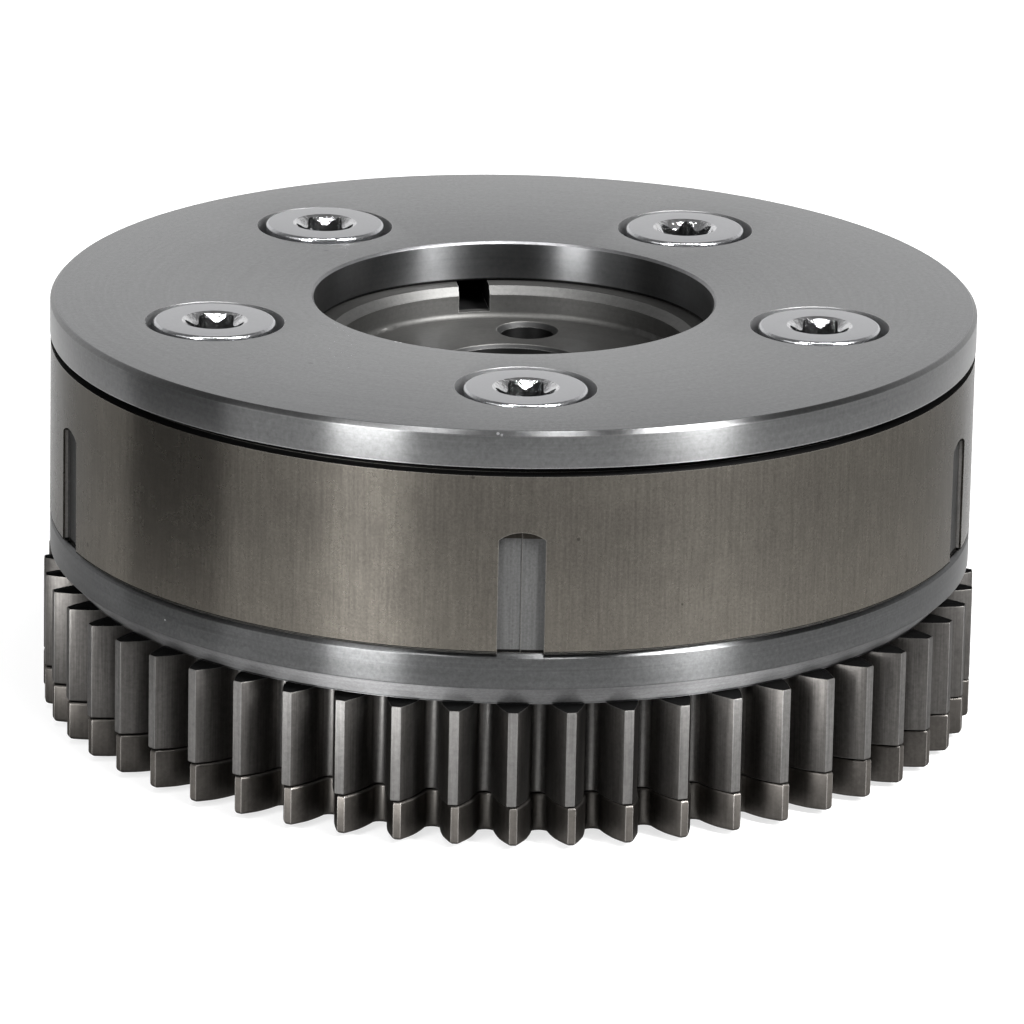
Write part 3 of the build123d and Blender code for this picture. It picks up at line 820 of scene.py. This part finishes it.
def cut(piece: Object, cutters: list[Object]) -> None:
    """Cut pieces out of another one and remove them.

    Args:
        piece: The piece that is cut.
        cutters: The pieces that are taken out.
    """
    for cutter in cutters:
        alone(piece)
        bpy.ops.object.modifier_add(type="BOOLEAN")
        modifier = piece.modifiers[-1]
        modifier.operation, modifier.solver, modifier.object = "DIFFERENCE", "EXACT", cutter
        bpy.ops.object.modifier_apply(modifier=modifier.name)
        bpy.data.objects.remove(cutter)


def bevel_edges(
    piece: Object, picked: list[bool], width: float, segments: int, clamp: bool,
) -> None:
    """Round some of a piece's edges.

    Args:
        piece: The piece to round.
        picked: Whether each edge is rounded.
        width: The rounding's width in millimetres.
        segments: How many faces make the rounding.
        clamp: Whether roundings stop where they meet.
    """
    alone(piece)
    bpy.ops.object.mode_set(mode="EDIT")
    bpy.ops.mesh.select_all(action="DESELECT")
    bpy.ops.mesh.select_mode(type="EDGE")
    bpy.ops.object.mode_set(mode="OBJECT")
    piece.data.edges.foreach_set("select", picked)
    bpy.ops.object.mode_set(mode="EDIT")
    bpy.ops.mesh.bevel(offset=width * MM, segments=segments, affect="EDGES", clamp_overlap=clamp)
    bpy.ops.mesh.select_mode(type="FACE")
    bpy.ops.object.mode_set(mode="OBJECT")


def round_rim(piece: Object, height: float, width: float, segments: int) -> None:
    """Round the outline of a piece's flat end.

    Args:
        piece: The piece to round.
        height: The end's height in millimetres.
        width: The rounding's width in millimetres.
        segments: How many faces make the rounding.
    """
    level = [abs(vertex.co.z - height * MM) < LEVEL for vertex in piece.data.vertices]
    picked = [all(level[index] for index in edge.vertices) for edge in piece.data.edges]
    bevel_edges(piece, picked, width, segments, clamp=False)


# Studio


@dataclass(frozen=True)
class Panel:
    """One soft light that stands round the part and faces it."""

    name: str
    azimuth: float
    elevation: float
    width: float
    height: float
    radiance: float
    distance: float = 1.6

    def make(self, aim: Vector) -> None:
        """Add the light.

        Args:
            aim: The point that the panel faces.
        """
        lamp = bpy.data.lights.new(self.name, "AREA")
        lamp.shape = "RECTANGLE"
        lamp.size, lamp.size_y = self.width, self.height
        lamp.energy = self.radiance * math.pi * self.width * self.height
        stand = bpy.data.objects.new(self.name, lamp)
        bpy.context.scene.collection.objects.link(stand)
        azimuth, elevation = math.radians(self.azimuth), math.radians(self.elevation)
        level = math.cos(elevation)
        away = Vector((level * math.sin(azimuth), -level * math.cos(azimuth), math.sin(elevation)))
        stand.location = aim + away * self.distance
        stand.rotation_mode = "QUATERNION"
        stand.rotation_quaternion = away.to_track_quat("Z", "Y")
        stand.visible_camera = False


@dataclass
class Studio:
    """The floor, the lights, the world and the camera."""

    floor_size: float = 40.0
    floor_color: Color = grey(0.33)
    floor_lift: float = 0.155
    floor_white: float = 0.56
    flag_start: Point = (-99.0, -61.6, 0.0)
    flag_end: Point = (-109.5, -9.5, 0.0)
    flag_height: float = 64.0
    flag_color: Color = grey(0.11)
    flag_roughness: float = 0.9
    world_front: float = 0.17
    world_back: float = 0.95
    world_turn: float = 0.8
    world_fade: Flat = (0.35, 0.9)
    cover_height: float = 0.0486
    camera_elevation: float = 16.153
    camera_roll: float = -1.1499
    camera_distance: float = 1.01253
    focal_px: float = 8783.71
    picture_px: int = 1024
    aim_px: tuple[float, float] = (513.994, 296.332)
    sensor_mm: float = 36.0
    panels: tuple[Panel, ...] = (
        Panel("left_strip", -34.5, 18.0, 0.46, 1.0, 17.0),
        Panel("left_low_strip", -34.5, 5.2, 0.46, 0.25, 14.0, distance=1.55),
        Panel("right_strip", 52.8, 42.0, 0.27, 1.0, 92.0),
        Panel("top_box", 4.0, 74.0, 0.5, 0.5, 1.8),
        Panel("top_right_strip", 26.0, 73.0, 0.20, 0.32, 30.0),
        Panel("top_left_strip", -41.0, 71.0, 0.22, 0.32, 25.0),
        Panel("left_fill", -58.5, 20.0, 0.80, 1.0, 1.2, distance=1.65),
    )

    def build(self) -> None:
        """Set up everything around the part."""
        bpy.context.scene.view_settings.view_transform = "Standard"
        self._world()
        self._floor()
        self._flag()
        for panel in self.panels:
            panel.make(Vector((0, 0, self.cover_height / 2)))
        self._camera()

    def _world(self) -> None:
        """Give the scene a plain grey room that is paler behind the part."""
        world = bpy.data.worlds.new("studio_room")
        world.use_nodes = True
        graph = Graph(world.node_tree)
        direction = graph.add("TexCoord").outputs["Generated"]
        _, depth, height = graph.add("SeparateXYZ", {0: direction}).outputs
        low = graph.ramp(height, *self.world_fade, 1.0, 0.0)
        behind = graph.math("MULTIPLY", graph.ramp(depth, 0.0, self.world_turn), low)
        level = graph.mix_value(behind, self.world_front, self.world_back)
        back = world.node_tree.nodes["Background"]
        back.inputs["Color"].default_value = rgba(grey(1.0))
        graph.tree.links.new(level, back.inputs["Strength"])
        bpy.context.scene.world = world

    def _floor(self) -> None:
        """Lay the pale floor."""
        bpy.ops.mesh.primitive_plane_add(size=self.floor_size)
        floor = bpy.context.object
        floor.name = "studio_floor"
        material = bpy.data.materials.new("pale_floor")
        material.use_nodes = True
        graph = Graph(material.node_tree)
        for node in list(graph.tree.nodes):
            graph.tree.nodes.remove(node)
        diffuse = graph.add("BsdfDiffuse", {"Color": rgba(self.floor_color)})
        path = graph.add("LightPath").outputs
        mirrored = graph.math("MAXIMUM", path["Is Glossy Ray"], path["Is Transmission Ray"])
        seen = graph.math("MAXIMUM", path["Is Camera Ray"], mirrored)
        strength = graph.math("MULTIPLY", seen, self.floor_lift)
        white = graph.math("MULTIPLY", path["Is Camera Ray"], self.floor_white)
        strength = graph.math("ADD", strength, white)
        lift = graph.add("Emission", {"Color": rgba(grey(1.0)), "Strength": strength})
        both = graph.add("AddShader", {0: diffuse.outputs[0], 1: lift.outputs[0]})
        graph.add("OutputMaterial", {"Surface": both.outputs[0]})
        floor.data.materials.append(material)

    def _flag(self) -> None:
        """Stand a dark card to the left, which only the polished walls mirror."""
        start, end = Vector(self.flag_start) * MM, Vector(self.flag_end) * MM
        rise = Vector((0, 0, self.flag_height)) * MM
        bpy.ops.mesh.primitive_plane_add(size=1.0)
        card = bpy.context.object
        card.name = "dark_card"
        corners = (start, end, start + rise, end + rise)
        for vertex, corner in zip(card.data.vertices, corners):
            vertex.co = corner
        material = bpy.data.materials.new("dark_card")
        material.use_nodes = True
        shader = material.node_tree.nodes["Principled BSDF"]
        shader.inputs["Base Color"].default_value = rgba(self.flag_color)
        shader.inputs["Roughness"].default_value = self.flag_roughness
        card.data.materials.append(material)
        card.visible_camera = card.visible_diffuse = card.visible_shadow = False

    def _camera(self) -> None:
        """Put the camera where the photograph's stood."""
        tilt, roll = math.radians(self.camera_elevation), math.radians(self.camera_roll)
        forward = Vector((0, math.cos(tilt), -math.sin(tilt)))
        right = Vector((1, 0, 0))
        level = Matrix((right, right.cross(forward), forward))
        spin = Matrix.Rotation(roll, 3, "Z")
        middle = self.picture_px / 2
        across = (self.aim_px[0] - middle) / self.focal_px
        up = (middle - self.aim_px[1]) / self.focal_px
        aim = Vector((across, up, 1.0))
        swing = Vector((0, 0, 1)).rotation_difference(aim.normalized()).to_matrix()
        view = swing @ spin @ level
        turn = Matrix((view[0], view[1], -view[2])).transposed().to_4x4()
        lens = bpy.data.cameras.new("photo_camera")
        lens.sensor_width = self.sensor_mm
        lens.lens = self.focal_px / self.picture_px * self.sensor_mm
        lens.clip_start, lens.clip_end = 0.01, 100.0
        camera = bpy.data.objects.new("photo_camera", lens)
        bpy.context.scene.collection.objects.link(camera)
        target = Vector((0, 0, self.cover_height))
        camera.matrix_world = Matrix.Translation(target - forward * self.camera_distance) @ turn
        bpy.context.scene.camera = camera


# The part

SECTIONS = 5
SCREW_AZIMUTH = 2.4
SCREW_CIRCLE = 36.3
COVER_REAR = 43.9
COVER_FRONT = 48.6


@dataclass
class Part:
    """A sub-assembly that is modelled here."""

    workshop: Workshop

    def finish(
        self, piece: Object, body: Body, slot: Slot, finishes: tuple[Finish, ...], *nodes: str,
        choose: Callable[[Face], Finish] | None = None,
    ) -> None:
        """Shade a piece, put it on its body and let it stand for its nodes.

        Args:
            piece: The piece.
            body: The body that it rides on.
            slot: Not used.
            finishes: Its finishes, the first for every face if there is no choice.
            nodes: The CAD nodes that it replaces.
            choose: Gives the finish of a face.
        """
        alone(piece)
        bpy.ops.object.shade_smooth_by_angle(angle=math.radians(SMOOTH_ANGLE))
        for finish in finishes:
            piece.data.materials.append(self.workshop.material(finish))
        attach(piece, body.value)
        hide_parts(*nodes)
        for face in piece.data.polygons if choose else ():
            face.material_index = finishes.index(choose(face))
        LOG.info("made %s with %d faces", piece.name, len(piece.data.polygons))


def screw_places() -> list[Vector]:
    """Return the centre of each cover screw in millimetres."""
    return [on_circle(SCREW_CIRCLE, SCREW_AZIMUTH + 360.0 / SECTIONS * i) for i in range(SECTIONS)]


@dataclass
class CoverPlate(Part):
    """The front cover ring with its counterbores."""

    radius: float = 53.4
    edge: float = 0.5
    parting_step: float = 0.51
    parting_radius: float = 51.6
    bore: float = 23.1
    bore_lip: float = 0.28
    bore_rear_edge: float = 0.2
    screw_hole: float = 4.2
    counterbore: float = 7.95
    counterbore_floor: float = 45.6
    burr_break: float = 0.06
    crisp: float = 0.04
    steps: int = 288
    hole_steps: int = 96
    flat_normal: float = 0.9
    lip_normal: float = 0.3
    bore_reach: float = 1.0
    counterbore_reach: float = 0.2

    def build(self) -> None:
        """Turn the ring, sink its counterbores and give the face and the rim their finishes."""
        low, high = COVER_REAR, COVER_FRONT
        corners = [
            (self.bore, low + self.bore_rear_edge), (self.bore + self.bore_rear_edge, low),
            (self.parting_radius, low), (self.parting_radius, low + self.parting_step),
            (self.radius, low + self.parting_step), (self.radius, high - self.edge),
            (self.radius - self.edge, high), (self.bore + self.bore_lip, high),
            (self.bore, high - self.bore_lip),
        ]
        fine = self.crisp
        radii = [0.0, 0.0, 0.0, 0.0, fine, fine * 4, fine * 4, fine, fine]
        ring = lathe("cover_ring", rounded(corners, radii, steps=3), self.steps)
        wide, tight, mouth = self.counterbore, self.screw_hole, self.burr_break
        profile = [
            (0.0, low - CLEAR), (tight, low - CLEAR), (tight, self.counterbore_floor),
            (wide, self.counterbore_floor), (wide, high - mouth), (wide + mouth, high),
            (wide + mouth, high + CLEAR), (0.0, high + CLEAR),
        ]
        places = [tuple(place) for place in screw_places()]
        cutters = [lathe("counterbore_tool", profile, self.hole_steps, place) for place in places]
        cut(ring, cutters)
        finishes = (RIM, COVER_FACE, BORE_WALL, BORE_LIP, COUNTERBORE)
        self.finish(ring, Body.HOUSING, Slot.COVER, finishes, "cover_plate", choose=self._finish_of)

    def _finish_of(self, face: Face) -> Finish:
        """Choose a finish by where a face lies and how it leans.

        Args:
            face: A face of the ring.

        Returns:
            Its finish.
        """
        if abs(face.normal.z) > self.flat_normal:
            return COVER_FACE
        here = face.center.xy / MM
        nearest = min((here - place.xy).length for place in screw_places())
        if nearest < self.counterbore + self.counterbore_reach:
            return COUNTERBORE
        if here.length > self.bore + self.bore_reach:
            return RIM
        return BORE_LIP if face.normal.z > self.lip_normal else BORE_WALL


@dataclass
class CoverScrew(Part):
    """A flat-headed cover screw with a six-lobe recess."""

    thread: float = 4.0
    tip: float = 13.6
    tip_chamfer: float = 0.8
    head: float = 7.0
    head_low: float = 45.6
    head_high: float = 48.55
    head_round: float = 0.42
    head_foot_round: float = 0.15
    lobe_outer: float = 3.375
    lobe_inner: float = 2.425
    lobe_depth: float = 3.2
    lobe_power: float = 1.25
    mouth: float = 3.75
    mouth_depth: float = 1.1
    mouth_round: float = 0.4
    lead_in_step: float = 0.1
    lobe_round: float = 0.2
    face_normal: float = 0.97
    wall_normal: float = 0.2
    flat_normal: float = 0.999
    upright_normal: float = 0.1
    slope_normals: Flat = (0.3, 0.98)
    lead_in_foot: float = 0.3
    steps: int = 144
    finishes: tuple[Finish, ...] = (HEAD_SIDE, HEAD_FACE, HEAD_RECESS, HEAD_LEAD_IN)
    turns: tuple[float, ...] = (0.0, -4.0, 25.0, 1.0, -3.0)
    stands: tuple[float, ...] = (0.05, 0.12, 0.18, 0.38, 0.18)

    def _wave(self, angle: float) -> float:
        """Return the recess's radius at an angle, with broad ridges between narrower lobes."""
        swing = (1.0 + math.cos(6 * angle)) / 2
        return self.lobe_inner + (self.lobe_outer - self.lobe_inner) * swing ** self.lobe_power

    def _recess(self) -> list[Object]:
        """Make the cutters of the recess.

        Returns:
            The turned lead-in at its mouth and the lobes.
        """
        low, high = self.head_high - self.lobe_depth, self.head_high
        points = []
        for i in range(self.steps):
            angle = math.tau * i / self.steps
            radius = self._wave(angle)
            points.append((radius * math.cos(angle), radius * math.sin(angle), low))
        lobes = drawn_up("recess_tool", points, self.lobe_depth + CLEAR)
        wide, foot, soft = self.mouth, high - self.mouth_depth, self.mouth_round
        corners = [
            (0.0, foot), (self.lobe_inner - self.lead_in_step, foot),
            (wide - soft, high - soft / 2), (wide, high), (wide, high + CLEAR), (0.0, high + CLEAR),
        ]
        radii = [0.0, self.lead_in_foot, soft / 2, 0.0, 0.0, 0.0]
        lead_in = lathe("lead_in_tool", rounded(corners, radii), self.steps)
        return [lead_in, lobes]

    def _soften(self, screw: Object) -> None:
        """Round the edges where the lobes' walls meet the lead-in.

        Args:
            screw: The screw with its recess.
        """
        faces: dict[tuple[int, int], list[Face]] = {}
        for face in screw.data.polygons:
            for key in face.edge_keys:
                faces.setdefault(key, []).append(face)
        picked = []
        for edge in screw.data.edges:
            ends = [screw.data.vertices[index].co for index in edge.vertices]
            middle = sum(ends, Vector()) / 2 / MM
            leans = sorted(abs(face.normal.z) for face in faces[edge.key])
            low, high = self.slope_normals
            meets = len(leans) == 2 and leans[0] < self.upright_normal and low < leans[1] < high
            picked.append(meets and middle.xy.length < self.mouth)
        bevel_edges(screw, picked, self.lobe_round, 3, clamp=True)

    def _finish_of(self, place: Vector, face: Face) -> Finish:
        """Choose a finish by where a face lies and how it leans.

        Args:
            place: The screw's axis in millimetres.
            face: A face of the screw.

        Returns:
            Its finish.
        """
        if (face.center.xy / MM - place.xy).length > self.mouth:
            return HEAD_FACE if face.normal.z > self.face_normal else HEAD_SIDE
        if face.center.z / MM < COVER_FRONT - self.mouth_depth or face.normal.z < self.wall_normal:
            return HEAD_RECESS
        return HEAD_FACE if face.normal.z > self.flat_normal else HEAD_LEAD_IN

    def build(self) -> None:
        """Turn one screw, press its recess and copy it to every hole."""
        corners = [
            (0.0, self.tip), (self.thread - self.tip_chamfer, self.tip),
            (self.thread, self.tip + self.tip_chamfer), (self.thread, self.head_low),
            (self.head, self.head_low), (self.head, self.head_high), (0.0, self.head_high),
        ]
        radii = [0.0, 0.0, 0.0, 0.0, self.head_foot_round, self.head_round, 0.0]
        screw = lathe("cover_screw_detail", rounded(corners, radii, steps=6), self.steps)
        cut(screw, self._recess())
        self._soften(screw)
        for number, place in enumerate(screw_places(), start=1):
            last = number == SECTIONS
            if not last:
                alone(screw)
                bpy.ops.object.duplicate()
                following = bpy.context.object
            turn = Matrix.Rotation(math.radians(self.turns[number - 1]), 4, "Z")
            lift = Vector((0, 0, self.stands[number - 1] + COVER_FRONT - self.head_high))
            screw.data.transform(Matrix.Translation((place + lift) * MM) @ turn)
            screw.name = screw.data.name = f"cover_screw_detail_{number}"
            choose = partial(self._finish_of, place)
            self.finish(
                screw, Body.HOUSING, Slot.SCREW, self.finishes, f"cover_screw_{number}",
                choose=choose,
            )
            if not last:
                screw = following


@dataclass(frozen=True)
class ToothForm:
    """The involute tooth that the two gears share."""

    count: int = 52
    module: float = 2.0
    pressure_angle: float = 20.0
    root: float = 48.7
    foot_rise: float = 0.7
    land: float = 1.04
    tip_relief: float = 0.20
    flank_steps: int = 7
    root_steps: int = 8

    @property
    def pitch_radius(self) -> float:
        """Return the pitch circle's radius."""
        return self.module * self.count / 2

    @property
    def tip_radius(self) -> float:
        """Return the tip circle's radius."""
        return self.pitch_radius + self.module

    def half_angle(self, radius: float) -> float:
        """Work out half the angle that a tooth spans.

        Args:
            radius: The radius, in millimetres, at which it is measured.

        Returns:
            The half angle in radians.
        """
        lean = math.radians(self.pressure_angle)
        base = self.pitch_radius * math.cos(lean)
        at_pitch = math.pi / (2 * self.count) + math.tan(lean) - lean
        roll = math.acos(base / radius)
        relief = self.tip_relief * max(0.0, radius - self.pitch_radius) / self.module
        return at_pitch - (math.tan(roll) - roll) - relief / radius

    def outline(self, azimuth: float, tip_break: float, height: float) -> list[Point]:
        """Return the outline of the toothed ring.

        Args:
            azimuth: The azimuth of one tooth's middle.
            tip_break: The rounding of the tooth's corners.
            height: The height that the outline lies at.

        Returns:
            The outline's points in millimetres.
        """
        foot, shoulder = self.root + self.foot_rise, self.tip_radius - tip_break
        steps = self.flank_steps
        flank = [foot + (shoulder - foot) * i / steps for i in range(steps + 1)]
        side = [(radius, self.half_angle(radius)) for radius in flank]
        rising = side + [(self.tip_radius, self.land / 2 / self.tip_radius)]
        step = math.tau / self.count
        gap = []
        for i in range(1, self.root_steps):
            lean = math.pi * i / self.root_steps
            share = (1 - math.cos(lean)) / 2
            half = self.half_angle(foot)
            gap.append((foot - self.foot_rise * math.sin(lean), half + (step - 2 * half) * share))
        points = []
        start = math.radians(azimuth - 90.0)
        for tooth in range(self.count):
            centre = start + tooth * step
            run = [(r, -a) for r, a in rising] + [(r, a) for r, a in reversed(rising)] + gap
            points += [(r * math.cos(centre + a), r * math.sin(centre + a), height) for r, a in run]
        return points

    def blank(self, gear: DriveGear | ScissorGear, name: str, rear: float, front: float) -> Object:
        """Cut the teeth of a gear and round its ends.

        Args:
            gear: The gear, for its azimuth and its roundings.
            name: The piece's name.
            rear: The height of its rear end in millimetres.
            front: The height of its front end.

        Returns:
            The toothed disc.
        """
        disc = drawn_up(name, self.outline(gear.azimuth, gear.tip_break, rear), front - rear)
        round_rim(disc, front, gear.front_round, gear.round_faces[0])
        round_rim(disc, rear, gear.rear_round, gear.round_faces[1])
        return disc


@dataclass
class DriveGear(Part):
    """The flange with the rear hub, and the wide gear on it."""

    teeth: ToothForm = ToothForm()
    azimuth: float = 0.89
    tip_break: float = 0.25
    front_round: float = 0.16
    rear_round: float = 0.22
    round_faces: tuple[int, int] = (2, 3)
    gear_rear: float = 5.2
    gear_front: float = 16.3
    flange_rear: float = 16.45
    flange_front: float = 22.85
    flange_radius: float = 53.3
    flange_edge: float = 0.5
    flange_chamfer: float = 2.45
    flange_rounds: tuple[float, ...] = (0.1, 0.12, 0.1, 0.08)
    hub: float = 33.0
    hub_chamfer: float = 0.25
    bore: float = 19.03
    bore_chamfer: float = 0.8
    groove_low: float = 0.75
    groove_high: float = 2.25
    groove_radius: float = 31.4
    pocket_inner: float = 36.6
    pocket_outer: float = 44.4
    pocket_roof: float = 10.6
    tapped_hole: float = 4.02
    tapped_floor: float = 12.8
    seat_radius: float = 6.5
    seat_depth: float = 5.0
    seat_circle: float = 36.0
    seat_azimuth: float = 190.5
    pin_hole: float = 2.5
    pin_depth: float = 3.0
    pin_circle: float = 40.2
    pin_azimuth: float = 38.4
    steps: int = 288
    tool_steps: int = 128

    def build(self) -> None:
        """Turn the flange and cut the gear."""
        self._flange()
        self._gear()

    def _flange(self) -> None:
        """Turn the flange and hub, and drill its screw and seat holes."""
        neck = self.flange_radius - self.flange_chamfer
        corners = [
            (self.bore, self.bore_chamfer), (self.bore + self.bore_chamfer, 0.0),
            (self.hub - self.hub_chamfer, 0.0), (self.hub, self.hub_chamfer),
            (self.hub, self.groove_low), (self.groove_radius, self.groove_low),
            (self.groove_radius, self.groove_high), (self.hub, self.groove_high),
            (self.hub, self.gear_front), (neck, self.gear_front), (neck, self.flange_rear),
            (self.flange_radius, self.flange_rear + self.flange_chamfer),
            (self.flange_radius, self.flange_front - self.flange_edge),
            (self.flange_radius - self.flange_edge, self.flange_front),
            (self.bore, self.flange_front),
        ]
        radii = [0.0] * 10 + [*self.flange_rounds, 0.0]
        flange = lathe("drive_flange", rounded(corners, radii, steps=3), self.steps)
        top = self.flange_front
        tools = [drill(place, self.tapped_hole, self.tapped_floor, top) for place in screw_places()]
        seat = on_circle(self.seat_circle, self.seat_azimuth)
        tools.append(drill(seat, self.seat_radius, top - self.seat_depth, top))
        cut(flange, tools)
        self.finish(flange, Body.HOUSING, Slot.GEAR, (FLANGE_SIDE,), "drive_gear")

    def _gear(self) -> None:
        """Cut the wide gear, bore it out over the hub and sink the spring pocket."""
        low, high, roof = self.gear_rear - CLEAR, self.gear_front, self.pocket_roof
        gear = self.teeth.blank(self, "wide_gear_teeth", self.gear_rear, self.gear_front)
        inner, outer = self.pocket_inner, self.pocket_outer
        pocket = [(inner, low), (outer, low), (outer, roof), (inner, roof)]
        pin = on_circle(self.pin_circle, self.pin_azimuth)
        cut(gear, [
            drill(Vector(), self.hub, low, high, self.tool_steps),
            lathe("pocket_tool", pocket, self.tool_steps),
            drill(pin, self.pin_hole, low, roof + self.pin_depth - CLEAR),
        ])
        self.finish(gear, Body.HOUSING, Slot.GEAR, (TOOTH_STEEL,), "drive_gear")


@dataclass
class ScissorGear(Part):
    """The narrow anti-backlash gear behind the wide one."""

    teeth: ToothForm = ToothForm(land=0.84, tip_relief=0.30)
    azimuth: float = 1.16
    tip_break: float = 0.32
    front_round: float = 0.28
    rear_round: float = 0.5
    round_faces: tuple[int, int] = (3, 4)
    rear: float = 0.6
    front: float = 5.1
    bore: float = 33.05
    pocket: float = 37.6
    pocket_depth: float = 2.5
    pin_hole: float = 2.5
    pin_circle: float = 40.2
    pin_azimuth: float = 38.4
    tool_steps: int = 128
    pin_steps: int = 48

    def build(self) -> None:
        """Cut the gear, its bore, its rear pocket and its pin hole."""
        gear = self.teeth.blank(self, "scissor_gear_teeth", self.rear, self.front)
        low, high = self.rear - CLEAR, self.front + CLEAR
        floor = self.rear + self.pocket_depth
        profile = [
            (0.0, low), (self.pocket, low), (self.pocket, floor),
            (self.bore, floor), (self.bore, high), (0.0, high),
        ]
        pin = on_circle(self.pin_circle, self.pin_azimuth)
        bore = lathe("bore_tool", profile, self.tool_steps)
        cut(gear, [bore, drill(pin, self.pin_hole, low, self.front, self.pin_steps)])
        self.finish(gear, Body.SCISSOR, Slot.SCISSOR, (SCISSOR_STEEL,), "scissor_gear")


@dataclass
class Phaser:
    """The whole cam phaser."""

    nodes: dict[str, Object]
    workshop: Workshop

    def build(self) -> None:
        """Dress the CAD nodes and make the pieces that stand for some of them."""
        for part in (CoverPlate, CoverScrew, DriveGear, ScissorGear):
            part(self.workshop).build()
        self._dress()

    def _dress(self) -> None:
        """Give every CAD node its finish."""
        by_slot = {finish.slot.value: finish for finish in NODE_FINISHES}
        for name, node in sorted(self.nodes.items()):
            for slot in node.material_slots:
                slot.material = self.workshop.material(by_slot[slot.material.name])
            LOG.info("dressed %s", name)


def main() -> None:
    """Build the studio and the part, in order."""
    logging.basicConfig(level=logging.INFO, format="%(name)s: %(message)s")
    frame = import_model()
    bpy.ops.object.select_all(action="DESELECT")
    Studio().build()
    Phaser(frame["nodes"], Workshop()).build()


if __name__ == "__main__":
    main()
